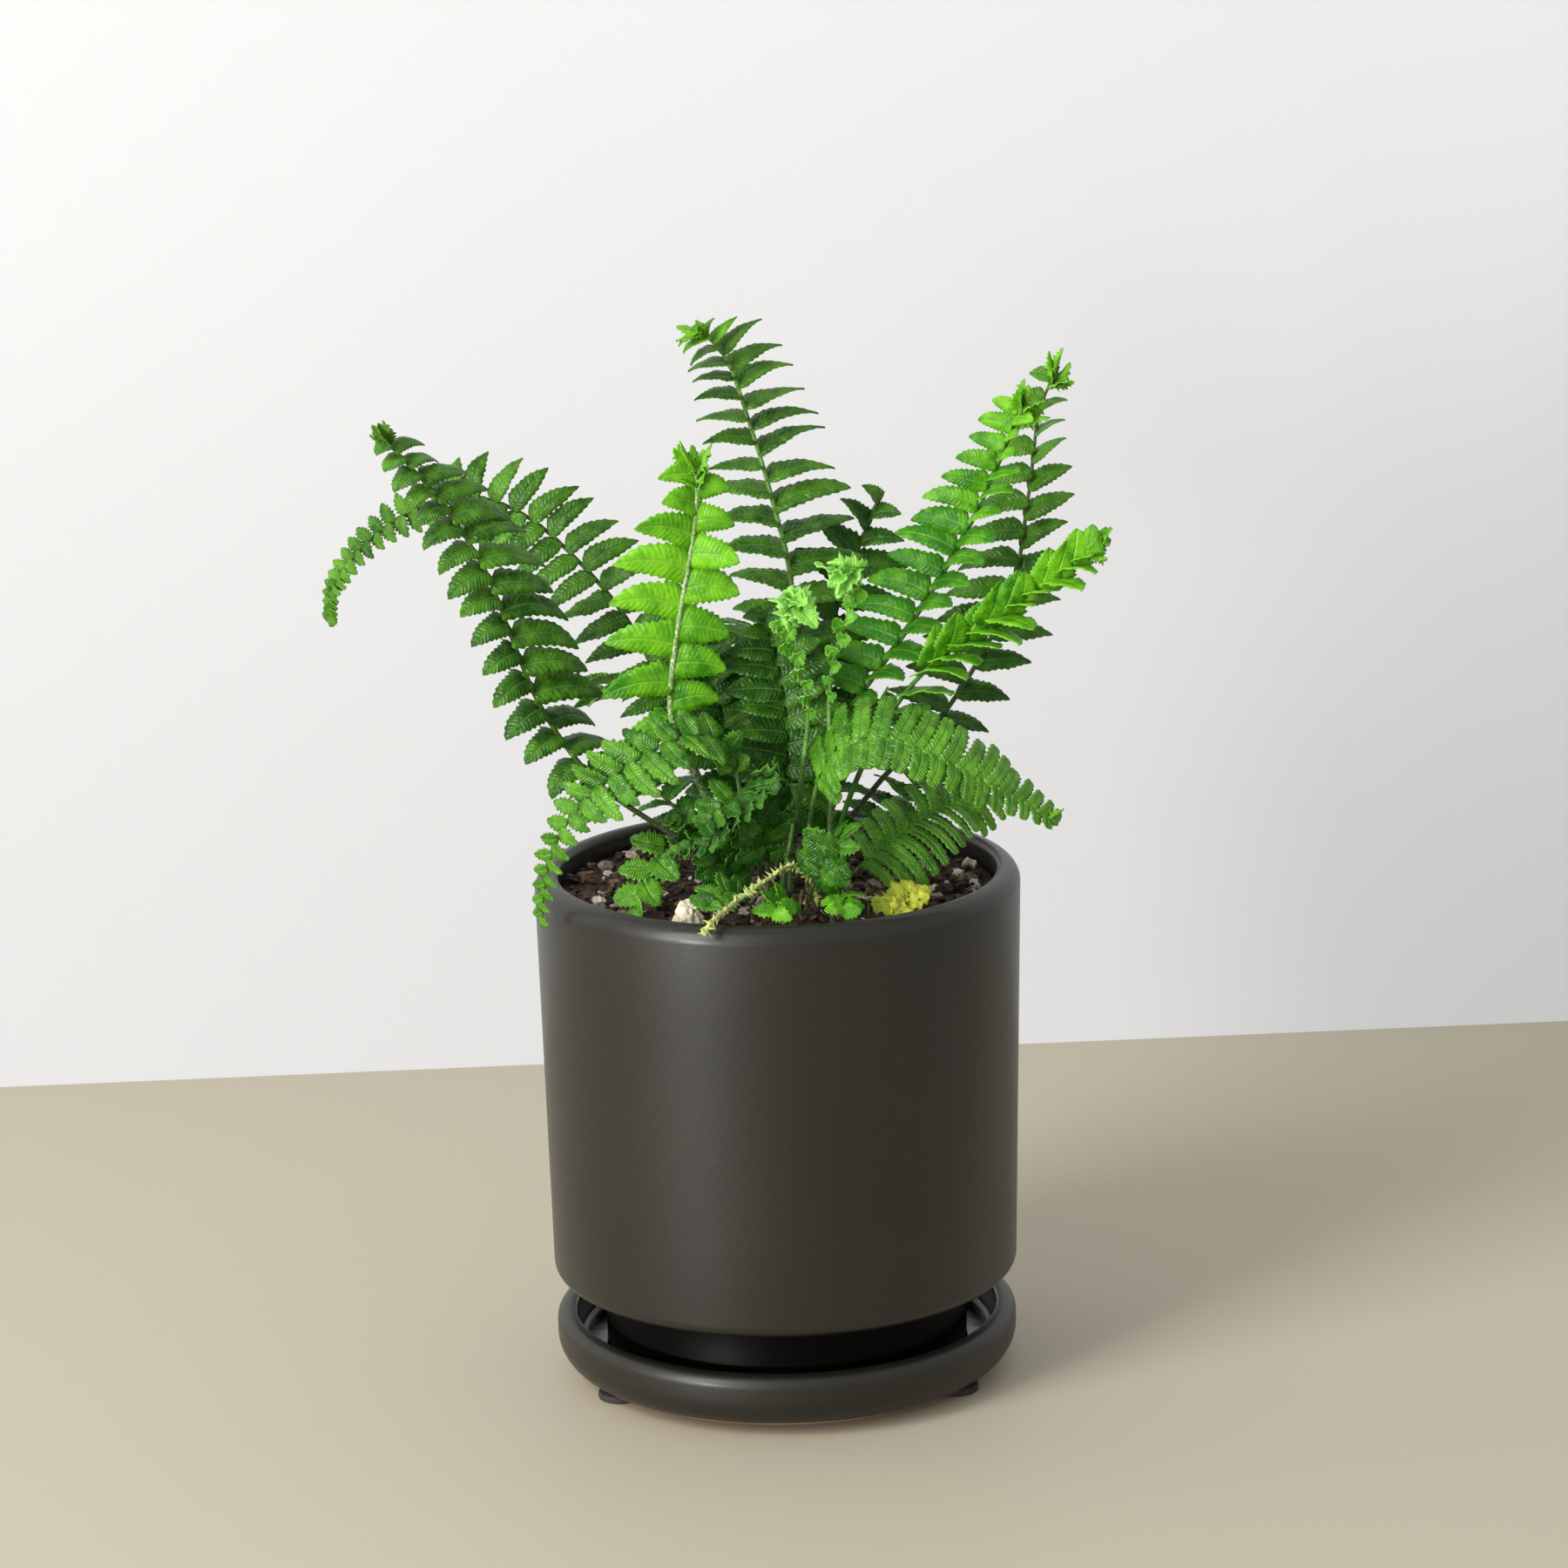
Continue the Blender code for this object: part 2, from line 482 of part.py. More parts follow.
def soil_body():
    """The block of mix that fills the pot, with crumbs on its top and a hole for each stem."""
    foot_base = SAUCER_FLOOR + GAP
    floor = foot_base + FLOOR_THICKNESS + GAP
    step = BODY_FOOT_HEIGHT + FOOT_WALL + GAP
    rise = (SOIL_HEIGHT - step) / (RIM_HEIGHT - RIM_INNER_ROUND - step)
    edge = BODY_FOOT_RADIUS + (RIM_RADIUS - BODY_FOOT_RADIUS) * rise - WALL - GAP
    holes = stem_holes()
    flat = ring_points((0, 0), edge, POT_SIDES)
    loops = []
    for centre, radius in holes:
        loops.append(list(range(len(flat), len(flat) + HOLE_SIDES)))
        flat += ring_points(centre, radius, HOLE_SIDES)
    for k in range(SOIL_CRUMBS):
        radius = (edge - 3) * math.sqrt((k + 0.5) / SOIL_CRUMBS)
        point = Vector((radius * math.cos(k * GOLDEN_ANGLE), radius * math.sin(k * GOLDEN_ANGLE)))
        if all((point - Vector(centre)).length > size + 1.2 for centre, size in holes):
            flat.append(point)
    rims = [list(range(POT_SIDES)), *loops]
    edges = [(rim[i - 1], rim[i]) for rim in rims for i in range(len(rim))]
    found = geometry.delaunay_2d_cdt(flat, edges, [], 0, 1e-5)
    owner = {index: number for number, loop in enumerate(loops) for index in loop}
    names = [origins[0] for origins in found[3]]
    vertices = []
    for index, point in enumerate(flat):
        height = SOIL_HEIGHT if index < POT_SIDES else soil_height(point.x, point.y)
        vertices.append(Vector((point.x, point.y, height)))
    faces = []
    for triangle in found[2]:
        corners = [names[i] for i in triangle]
        loops_met = {owner.get(corner, -1 - corner) for corner in corners}
        if len(loops_met) > 1:
            faces.append(corners)
    for loop in loops:
        start = len(vertices)
        vertices += [Vector((flat[i].x, flat[i].y, HOLE_FOOT)) for i in loop]
        deep = list(range(start, start + HOLE_SIDES))
        faces += [(loop[i - 1], loop[i], deep[i], deep[i - 1]) for i in range(HOLE_SIDES)]
        faces.append(deep)
    above = list(range(POT_SIDES))
    inner = FOOT_RADIUS - FOOT_WALL - GAP
    for radius, height in ((BODY_FOOT_RADIUS - WALL - GAP, step), (inner, step), (inner, floor)):
        start = len(vertices)
        vertices += [Vector((*p, height)) for p in ring_points((0, 0), radius, POT_SIDES)]
        below = list(range(start, start + POT_SIDES))
        faces += [(above[i - 1], above[i], below[i], below[i - 1]) for i in range(POT_SIDES)]
        above = below
    faces.append(above)
    return vertices, faces


def stone_body():
    """A worn stone with a flat underside, resting on the mix."""
    shape = bmesh.new()
    bmesh.ops.create_icosphere(shape, subdivisions=2, radius=1.0)
    turn = math.radians(STONE_TURN)
    base = SOIL_HEIGHT + GAP
    vertices = []
    for vertex in shape.verts:
        worn = 1.0 + 0.18 * noise.noise(vertex.co * 1.4)
        x, y, z = (vertex.co[i] * worn * STONE_HALF[i] for i in range(3))
        across = x * math.cos(turn) - y * math.sin(turn)
        along = x * math.sin(turn) + y * math.cos(turn)
        height = max(base, base + STONE_HALF[2] * 0.62 + z)
        vertices.append(Vector((STONE_CENTRE[0] + across, STONE_CENTRE[1] + along, height)))
    faces = [[v.index for v in f.verts] for f in shape.faces]
    shape.free()
    return vertices, faces


def pad_body(bearing):
    """One rubber pad under the saucer."""
    angle = math.radians(bearing)
    centre = Vector((PAD_CIRCLE * math.cos(angle), PAD_CIRCLE * math.sin(angle), 0.0))
    height = SAUCER_BASE - GAP
    profile = [(0.0, 0.0), (PAD_RADIUS - PAD_EDGE, 0.0), (PAD_RADIUS, PAD_EDGE)]
    profile += [(PAD_RADIUS, height), (0.0, height)]
    vertices, faces = turned(profile, PAD_SIDES, closed=False)
    return [v + centre for v in vertices], faces


def smooth_route(foot, points):
    """Even samples of a stem that rises straight and then curves through a route's points."""
    knots = [Vector((*foot, STRAIGHT_TOP)), *(Vector(p) for p in points)]
    below = knots[0] - Vector((0, 0, (knots[1] - knots[0]).length))
    knots = [below, *knots, knots[-1] * 2 - knots[-2]]
    fine = [Vector((*foot, STEM_FOOT))]
    for i in range(1, len(knots) - 2):
        p0, p1, p2, p3 = knots[i - 1:i + 3]
        for j in range(24):
            t = j / 24
            fine.append(
                0.5 * (2 * p1 + (p2 - p0) * t + (2 * p0 - 5 * p1 + 4 * p2 - p3) * t ** 2
                       + (3 * p1 - p0 - 3 * p2 + p3) * t ** 3)
            )
    fine.append(knots[-2])
    travelled = [0.0]
    for a, b in zip(fine, fine[1:]):
        travelled.append(travelled[-1] + (b - a).length)
    samples = []
    index = 0
    for k in range(ROUTE_SAMPLES + 1):
        target = travelled[-1] * k / ROUTE_SAMPLES
        while index < len(fine) - 2 and travelled[index + 1] < target:
            index += 1
        share = (target - travelled[index]) / max(1e-9, travelled[index + 1] - travelled[index])
        samples.append(fine[index].lerp(fine[index + 1], min(1.0, share)))
    return samples, travelled[-1]


def mix(pair, t):
    """A value between the two of a pair."""
    return pair[0] + (pair[1] - pair[0]) * t


def read_profile(profile, t):
    """Value at t of a broken line given by its corners."""
    for (t0, v0), (t1, v1) in zip(profile, profile[1:]):
        if t <= t1:
            return v0 + (v1 - v0) * (t - t0) / (t1 - t0)
    return profile[-1][1]


class FrondShape:
    """A frond's stem with its frames, and the leaflets that grow from its two sides."""

    def __init__(self, frond):
        self.frond = frond
        self.samples, self.reach = smooth_route(frond.foot, frond.route)
        self.draw = random.Random(frond.name)
        self.vertices = []
        self.faces = []
        self.places = self.ring_places()
        self.frames = self.ring_frames()
        self.first_leafy = len(self.places) - 2 * frond.pairs - 1
        for place, frame in zip(self.places, self.frames):
            self.add_ring(place, *frame)

    def ring_places(self):
        """Shares of the length at which the stem has a ring."""
        start = self.frond.leafy_from
        straight = (STRAIGHT_TOP - STEM_FOOT) / self.reach
        plain = max(1, round(self.reach * (start - straight) / RAIL_STEP))
        places = [0.0] + [straight + (start - straight) * i / plain for i in range(plain)]
        segments = 2 * self.frond.pairs
        for i in range(segments + 1):
            t = i / segments
            places.append(start + (0.985 - start) * t * (1.22 - 0.22 * t))
        return places

    def direction(self, place):
        """Point of the route and its forward direction."""
        position = min(0.999, max(0.0, place)) * ROUTE_SAMPLES
        index = int(position)
        point = self.samples[index].lerp(self.samples[index + 1], position - index)
        before = self.samples[max(0, index - 2)]
        after = self.samples[min(ROUTE_SAMPLES, index + 3)]
        return point, (after - before).normalized()

    def ring_frames(self):
        """For each ring its point, forward, upper-face and right-hand directions.

        Below the first leaflet the face only follows the stem's bends, from there down.
        """
        start = self.frond.leafy_from
        frames = []
        for place in reversed(self.places):
            point, forward = self.direction(place)
            if place >= start:
                leafy = (place - start) / (1 - start)
                face = Vector(self.frond.face[0]).lerp(Vector(self.frond.face[1]), leafy)
            face = (face - forward * face.dot(forward)).normalized()
            frames.append((point, forward, face, forward.cross(face)))
        return frames[::-1]

    def add_ring(self, place, point, forward, face, right):
        """Four corners of the stem's section."""
        half = self.frond.stem * (1.0 - 0.55 * place)
        for side, up in ((1, 1), (1, -1), (-1, -1), (-1, 1)):
            self.vertices.append(point + right * half * side + face * half * up)

    def stem_faces(self):
        """Faces of the bare stem, as if it had no leaflets."""
        faces = [(0, 2, 1), (0, 3, 2)]
        for ring in range(len(self.places) - 1):
            for corner in range(4):
                faces += self.side_faces(ring, corner)
        last = 4 * (len(self.places) - 1)
        apex = len(self.places) * 4
        faces += [(last + i, last + (i + 1) % 4, apex) for i in range(4)]
        return faces

    @staticmethod
    def side_faces(ring, corner):
        """The two triangles of one side of the stem between two rings."""
        a = 4 * ring + corner
        b = 4 * ring + (corner + 1) % 4
        return [(a, b, b + 4), (a, b + 4, a + 4)]

    def stem_body(self):
        """Vertices and faces of the bare stem."""
        apex = self.samples[-1]
        return [*self.vertices, apex], self.stem_faces()

    def leaflet(self, index, shift, grow):
        """Rings of one leaflet, from the stem's side out, and its tip.

        The rings hold the front upper, front lower, back lower and back upper corners.
        """
        frond = self.frond
        lift_more, pitch_more, size = shift
        t = (index + 0.5) / (2 * frond.pairs)
        side = 1 if index % 2 == 0 else -1
        ring = self.first_leafy + index
        point = (self.frames[ring][0] + self.frames[ring + 1][0]) / 2
        _, forward, face, right = self.frames[ring]
        jitter = self.jitters[index]
        sweep = math.radians(mix(frond.sweep, t) - side * mix(frond.skew, t) + jitter[0])
        lift = math.radians(mix(frond.lift, t) + jitter[1] + lift_more)
        pitch = mix(frond.pitch, t) + jitter[2] + pitch_more
        share = frond.right if side > 0 else frond.left
        length = frond.length * share * read_profile(frond.profile, t) * jitter[3] * size
        width = frond.width * min(1.0, 0.35 + 0.65 * length / frond.length / share)
        along = (right * side) * math.cos(sweep) + forward * math.sin(sweep)
        along = along * math.cos(lift) + face * math.sin(lift)
        across = (forward - along * forward.dot(along)).normalized()
        upper = along.cross(across) * side
        start = math.radians(pitch)
        front = across * math.cos(start) - upper * math.sin(start)
        top = upper * math.cos(start) + across * math.sin(start)
        rings = []
        outline = frond.outline if length > STUBBY_LENGTH else STUBBY
        for u, ahead, behind in outline:
            reach = max(length * u, NECK + frond.stem * 0.4)
            turn = math.radians(pitch + frond.twist * u)
            edge = across * math.cos(turn) - upper * math.sin(turn)
            normal = upper * math.cos(turn) + across * math.sin(turn)
            centre = point + self.spine(along, front, top, length, reach / length)
            fore = edge * (width * ahead + grow)
            aft = edge * (width * behind + grow)
            thick = normal * (BLADE / 2 + grow)
            rings.append(
                (centre + fore + thick, centre + fore - thick,
                 centre - aft - thick, centre - aft + thick)
            )
        tip = point + self.spine(along, front, top, length, 1.0 + grow / length)
        return ring, side, rings, tip

    def spine(self, along, front, top, length, u):
        """Offset of a leaflet's middle line at the share u of its length."""
        frond = self.frond
        bend = front * frond.hook - top * frond.curl - Vector((0, 0, frond.droop))
        return (along * u + bend * u * u) * length

    def draw_jitters(self):
        """Small differences between leaflets, in degrees and in shares of length."""
        self.jitters = [
            (
                self.draw.uniform(-4, 4), self.draw.uniform(-4, 4),
                self.draw.uniform(-6, 6), self.draw.uniform(0.93, 1.05),
            )
            for _ in range(2 * self.frond.pairs)
        ]

    @staticmethod
    def loft(rings, tip, base):
        """Points and triangles of a leaflet, alike on its upper and lower faces."""
        points = [*base] if base else []
        for ring in rings:
            points += ring
        points.append(tip)
        count = len(points) // 4
        faces = [] if base else [(0, 1, 2), (0, 2, 3)]
        for ring in range(count - 1):
            a, b, c, d = (4 * ring + i for i in range(4))
            faces += [(a, d, d + 4), (a, d + 4, a + 4)]
            faces += [(b, c, c + 4), (b, c + 4, b + 4)]
            faces += [(a, b, b + 4), (a, b + 4, a + 4)]
            faces += [(d, c, c + 4), (d, c + 4, d + 4)]
        a, b, c, d = (4 * (count - 1) + i for i in range(4))
        apex = len(points) - 1
        faces += [(a, d, apex), (b, c, apex), (a, b, apex), (d, c, apex)]
        return points, faces

    def base_corners(self, ring, side):
        """Indices of the stem's corners that a leaflet grows from."""
        upper, lower = (0, 1) if side > 0 else (3, 2)
        here, ahead = 4 * ring, 4 * (ring + 1)
        return ahead + upper, ahead + lower, here + lower, here + upper


def grow_fronds(obstacles):
    """Every frond with the leaflets that find room, as vertices and faces."""
    shapes = [FrondShape(frond) for frond in FRONDS]
    stems = [BVHTree.FromPolygons(*shape.stem_body()) for shape in shapes]
    taken = list(obstacles)
    grown = []
    for shape, own_stem in zip(shapes, stems):
        shape.draw_jitters()
        others = [stem for stem in stems if stem is not own_stem]
        vertices, faces = shape.stem_body()
        faces = set(faces)
        for index in range(2 * shape.frond.pairs):
            for shift in SHIFTS:
                ring, side, rings, tip = shape.leaflet(index, shift, GAP)
                blade = BVHTree.FromPolygons(*shape.loft(rings, tip, None))
                corners = shape.base_corners(ring, side)
                base = [shape.vertices[i] for i in corners]
                whole = BVHTree.FromPolygons(*shape.loft(rings, tip, base))
                near = [corner.lerp(far, NECK_SHARE) for corner, far in zip(base, rings[0])]
                neck = BVHTree.FromPolygons(*shape.loft(rings, tip, near))
                if blade.overlap(own_stem) or neck.overlap(own_stem):
                    continue
                if any(whole.overlap(tree) for tree in others + taken):
                    continue
                ring, side, rings, tip = shape.leaflet(index, shift, 0.0)
                corner = 0 if side > 0 else 2
                faces -= set(shape.side_faces(ring, corner))
                points, triangles = shape.loft(rings, tip, base)
                taken.append(BVHTree.FromPolygons(points, triangles))
                start = len(vertices) - 4
                renamed = list(corners) + [start + i for i in range(4, len(points))]
                vertices += points[4:]
                faces |= {tuple(renamed[i] for i in triangle) for triangle in triangles}
                break
        grown.append((shape.frond, vertices, sorted(faces)))
    return grown


def runner_body():
    """The scaly runner that leans over the rim."""
    samples, reach = smooth_route(RUNNER_FOOT, RUNNER_ROUTE)
    draw = random.Random("runner")
    vertices = []
    faces = []
    rings = RUNNER_SCALES + 4
    for ring in range(rings):
        share = ring / (rings - 1)
        place = int(share * (ROUTE_SAMPLES - 1))
        forward = (samples[place + 1] - samples[max(0, place - 1)]).normalized()
        side = forward.cross(Vector((0.2, 0, 1))).normalized()
        up = side.cross(forward)
        swell = 1.0 if share < 0.4 else 1.0 + 0.45 * (ring % 2) + draw.uniform(-0.1, 0.1)
        radius = RUNNER_RADIUS * swell
        for corner in range(6):
            angle = math.tau * (corner + 0.5 * (ring % 2)) / 6
            vertices.append(
                samples[place] + side * radius * math.cos(angle) + up * radius * math.sin(angle)
            )
    for ring in range(rings - 1):
        for corner in range(6):
            a = 6 * ring + corner
            b = 6 * ring + (corner + 1) % 6
            faces += [(a, b, b + 6), (a, b + 6, a + 6)]
    faces.append(tuple(range(5, -1, -1)))
    faces.append(tuple(range(6 * (rings - 1), 6 * rings)))
    return vertices, faces


def main():
    """Build the saucer, the pot, its filling and the fern."""
    for old in list(bpy.data.objects):
        bpy.data.objects.remove(old, do_unlink=True)
    stand = bpy.data.objects.new("pot_axis", None)
    stand.location = (POT_AXIS[0] * MM, POT_AXIS[1] * MM, 0.0)
    bpy.context.scene.collection.objects.link(stand)
    colours = {
        "glaze": ((0.028, 0.025, 0.023), 0.42),
        "saucer_glaze": ((0.026, 0.024, 0.022), 0.4),
        "rubber": ((0.035, 0.033, 0.03), 0.85),
        "mix": ((0.055, 0.028, 0.016), 0.95),
        "stone": ((0.5, 0.46, 0.36), 0.8),
        "frond_dark": ((0.03, 0.14, 0.018), 0.45),
        "frond_mid": ((0.045, 0.23, 0.03), 0.45),
        "frond_bright": ((0.1, 0.42, 0.02), 0.45),
        "frond_blue": ((0.03, 0.16, 0.06), 0.4),
        "frond_lime": ((0.25, 0.55, 0.07), 0.5),
        "frond_yellow": ((0.5, 0.47, 0.05), 0.6),
        "runner": ((0.48, 0.52, 0.16), 0.7),
    }
    finishes = {name: make_material(name, *values) for name, values in colours.items()}

    pot = turned(pot_profile(), POT_SIDES, closed=True)
    saucer = turned(saucer_profile(), POT_SIDES, closed=False)
    soil = soil_body()
    stone = stone_body()
    runner = runner_body()
    add_object("pot", *pot, finishes["glaze"], stand)
    add_object("saucer", *saucer, finishes["saucer_glaze"], stand)
    for number, bearing in enumerate(PAD_BEARINGS, start=1):
        add_object(f"pad_{number}", *pad_body(bearing), finishes["rubber"], stand)
    add_object("potting_mix", *soil, finishes["mix"], stand, flat_faces=True)
    add_object("pale_stone", *stone, finishes["stone"], stand, flat_faces=True)
    add_object("runner", *runner, finishes["runner"], stand)

    obstacles = [BVHTree.FromPolygons(*body) for body in (pot, soil, stone, runner)]
    for frond, vertices, faces in grow_fronds(obstacles):
        add_object(frond.name, vertices, faces, finishes[frond.finish], stand, flat_faces=True)


main()
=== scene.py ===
"""A jester's crown fern in a matte black cylinder pot on its saucer, in soft studio light.

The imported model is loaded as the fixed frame, and every plain solid of it is replaced by a
finer piece of the same form. Sizes are in millimetres about the pot's upright axis, with
height counted from the surface that the saucer's pads stand on. `to_frame` turns them into
the frame's metres.
"""

import logging
import math
import random
from dataclasses import dataclass, field, replace
from enum import Enum
from typing import Callable, Iterable, Optional, Sequence

import bmesh
import bpy
import numpy as np
from mathutils import Matrix, Vector, noise
from mathutils.kdtree import KDTree


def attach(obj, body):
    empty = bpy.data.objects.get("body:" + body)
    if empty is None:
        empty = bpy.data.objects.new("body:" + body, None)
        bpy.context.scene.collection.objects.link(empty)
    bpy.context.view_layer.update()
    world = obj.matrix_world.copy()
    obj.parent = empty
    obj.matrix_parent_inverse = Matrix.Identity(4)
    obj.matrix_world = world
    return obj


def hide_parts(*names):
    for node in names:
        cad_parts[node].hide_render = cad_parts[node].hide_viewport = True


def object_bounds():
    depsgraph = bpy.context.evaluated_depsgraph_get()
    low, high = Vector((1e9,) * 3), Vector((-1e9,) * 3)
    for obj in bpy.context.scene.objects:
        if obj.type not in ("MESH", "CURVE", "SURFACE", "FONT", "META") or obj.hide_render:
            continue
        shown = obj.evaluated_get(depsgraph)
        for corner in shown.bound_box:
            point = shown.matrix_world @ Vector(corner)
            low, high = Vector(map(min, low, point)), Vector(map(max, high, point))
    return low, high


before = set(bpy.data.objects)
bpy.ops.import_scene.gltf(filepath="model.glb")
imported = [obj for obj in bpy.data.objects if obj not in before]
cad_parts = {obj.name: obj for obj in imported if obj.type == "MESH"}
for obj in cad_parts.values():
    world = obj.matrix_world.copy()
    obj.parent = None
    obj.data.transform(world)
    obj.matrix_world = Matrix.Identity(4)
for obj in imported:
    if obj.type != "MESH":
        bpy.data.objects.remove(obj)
CAD_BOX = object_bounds()

LOG = logging.getLogger("fern")

MM = 0.001
POT_AXIS = np.array((14.1, -2.9, 0.0))

# The number on each vertex that its material reads
TONE = "tone"

Piece = bpy.types.Object
Material = bpy.types.Material
Socket = bpy.types.NodeSocket
Colour = tuple[float, float, float]
Point = tuple[float, float, float]
Pair = tuple[float, float]
Line = Sequence[Pair]


def to_frame(points: Iterable[Sequence[float]]) -> np.ndarray:
    """Turn millimetres about the pot's axis into the frame's metres.

    Args:
        points: Points in millimetres.

    Returns:
        One row of metres for each point.
    """
    return (np.asarray([tuple(p) for p in points], float) + POT_AXIS) * MM


def read_line(line: Line, at: float) -> float:
    """Read a broken line.

    Args:
        line: Its corners, as place and value.
        at: The place to read.

    Returns:
        The value there.
    """
    return float(np.interp(at, [p[0] for p in line], [p[1] for p in line]))


def blend(pair: Sequence[float], share: float) -> float:
    """Give the value between the two of a pair at a share of the way."""
    return pair[0] + (pair[1] - pair[0]) * share


def scaled(colour: Colour, share: float) -> Colour:
    """Give a darker or brighter colour of the same hue."""
    return tuple(c * share for c in colour)


def deselect() -> None:
    """Deselect everything."""
    if bpy.context.object is not None and bpy.context.object.mode != "OBJECT":
        bpy.ops.object.mode_set(mode="OBJECT")
    bpy.ops.object.select_all(action="DESELECT")


def select(*pieces: Piece) -> None:
    """Select these pieces alone and make the first one active.

    Args:
        pieces: The pieces.
    """
    deselect()
    for piece in pieces:
        piece.select_set(True)
    bpy.context.view_layer.objects.active = pieces[0]


def start_edit(piece: Piece) -> None:
    """Take a piece into edit mode with nothing selected.

    Args:
        piece: The piece.
    """
    select(piece)
    bpy.ops.object.mode_set(mode="EDIT")
    bpy.ops.mesh.select_all(action="DESELECT")


def pick(piece: Piece, test: Callable[[Vector], bool]) -> None:
    """Select the vertices of the piece in edit mode that pass a test.

    Args:
        piece: The piece, in edit mode.
        test: Says whether a vertex's place is wanted.
    """
    shape = bmesh.from_edit_mesh(piece.data)
    for part in (shape.faces, shape.edges, shape.verts):
        for item in part:
            item.select = False
    for vertex in shape.verts:
        if test(vertex.co):
            vertex.select = True
    shape.select_flush(True)
    bmesh.update_edit_mesh(piece.data, loop_triangles=False, destructive=False)


def settle(piece: Piece, name: str) -> Piece:
    """Leave edit mode, put the piece's place into its mesh and name it.

    Args:
        piece: The piece.
        name: Its name.

    Returns:
        The piece.
    """
    if piece.mode != "OBJECT":
        bpy.ops.object.mode_set(mode="OBJECT")
    select(piece)
    bpy.ops.object.transform_apply(location=True, rotation=True, scale=True)
    piece.name = name
    piece.data.name = name
    return piece


def join_up(pieces: Sequence[Piece], name: str) -> Piece:
    """Join pieces into one of that name.

    Args:
        pieces: The pieces.
        name: The whole's name.

    Returns:
        The whole.
    """
    select(*pieces)
    if len(pieces) > 1:
        bpy.ops.object.join()
    return settle(pieces[0], name)


def apply_modifier(piece: Piece, kind: str, **settings: object) -> None:
    """Add a modifier and apply it.

    Args:
        piece: The piece to change.
        kind: The modifier's type.
        settings: Its settings by name.
    """
    select(piece)
    modifier = piece.modifiers.new(kind.title(), kind)
    for key, value in settings.items():
        setattr(modifier, key, value)
    bpy.ops.object.modifier_apply(modifier=modifier.name)


def smooth_over(piece: Piece, angle: float = 50.0) -> None:
    """Shade a piece smooth, apart from edges sharper than the angle in degrees."""
    select(piece)
    bpy.ops.object.shade_smooth_by_angle(angle=math.radians(angle))


def copy_to(pattern: Piece, places: np.ndarray, name: str) -> Piece:
    """Copy a pattern, with its own mesh, to given vertex places.

    Args:
        pattern: The piece to copy.
        places: A row of metres for each of its vertices.
        name: The copy's name.

    Returns:
        The copy.
    """
    made = pattern.copy()
    made.data = pattern.data.copy()
    made.name = name
    set_places(made, places)
    bpy.context.scene.collection.objects.link(made)
    return made


def read_places(piece: Piece) -> np.ndarray:
    """Give the places of a piece's vertices, one row each.

    Args:
        piece: The piece.

    Returns:
        The rows, in metres.
    """
    rows = np.zeros(len(piece.data.vertices) * 3, np.float32)
    piece.data.vertices.foreach_get("co", rows)
    return rows.reshape(-1, 3).astype(float)


def set_places(piece: Piece, places: np.ndarray) -> None:
    """Move the vertices of a piece to these rows."""
    piece.data.vertices.foreach_set("co", places.astype(np.float32).ravel())
    piece.data.update()


def paint(piece: Piece, tone: float | np.ndarray) -> None:
    """Write a tone on every vertex of a piece, from 0 for dark to 1 for pale.

    Args:
        piece: The piece.
        tone: The tone, or one for each vertex.
    """
    mesh = piece.data
    layer = mesh.attributes.get(TONE)
    if layer is None:
        layer = mesh.attributes.new(TONE, "FLOAT", "POINT")
    values = np.broadcast_to(np.asarray(tone, np.float32), (len(mesh.vertices),))
    layer.data.foreach_set("value", np.ascontiguousarray(values))


def dress(piece: Piece, *materials: Material) -> None:
    """Give a piece these materials in its slots.

    Args:
        piece: The piece.
        materials: One for each slot.
    """
    piece.data.materials.clear()
    for material in materials:
        piece.data.materials.append(material)


def drop(*pieces: Piece) -> None:
    """Remove pieces that were only patterns."""
    for piece in pieces:
        bpy.data.objects.remove(piece, do_unlink=True)


def draw_tube(route: np.ndarray, radii: Sequence[float], name: str, sides: int = 2) -> Piece:
    """Sweep a round section along a route.

    Args:
        route: Points in metres.
        radii: The radius in metres at each point.
        name: The tube's name.
        sides: Half-rounds in the section, as the curve's bevel resolution.

    Returns:
        The tube as a mesh with closed ends.
    """
    curve = bpy.data.curves.new(name, "CURVE")
    curve.dimensions = "3D"
    curve.bevel_depth = 1.0
    curve.bevel_resolution = sides
    curve.use_fill_caps = True
    spline = curve.splines.new("POLY")
    spline.points.add(len(route) - 1)
    for point, place, radius in zip(spline.points, route, radii):
        point.co = (*place, 1.0)
        point.radius = radius
    made = bpy.data.objects.new(name, curve)
    bpy.context.scene.collection.objects.link(made)
    select(made)
    bpy.ops.object.convert(target="MESH")
    return settle(bpy.context.object, name)


def draw_up(name: str, section: Line, sides: int, ring: bool = False) -> Piece:
    """Draw a round piece up from a circle about the pot's axis, ring by ring.

    Args:
        name: The piece's name.
        section: Radius and height of each of its rings, in millimetres.
        sides: How many sides a ring has.
        ring: Whether the piece is open in the middle.

    Returns:
        The piece, in edit mode with its last ring selected.
    """
    x, y = POT_AXIS[0] * MM, POT_AXIS[1] * MM
    radius, height = section[0]
    deselect()
    bpy.ops.mesh.primitive_circle_add(
        vertices=sides, radius=radius * MM, location=(x, y, height * MM),
        fill_type="NOTHING" if ring else "NGON",
    )
    piece = settle(bpy.context.object, name)
    bpy.ops.object.mode_set(mode="EDIT")
    bpy.ops.mesh.select_all(action="SELECT")
    extrude = bpy.ops.mesh.extrude_edges_move if ring else bpy.ops.mesh.extrude_region_move
    for (before, low), (after, high) in zip(section, section[1:]):
        extrude(TRANSFORM_OT_translate={"value": (0, 0, (high - low) * MM)})
        share = after / before
        bpy.ops.transform.resize(value=(share, share, 1.0), center_override=(x, y, high * MM))
    return piece


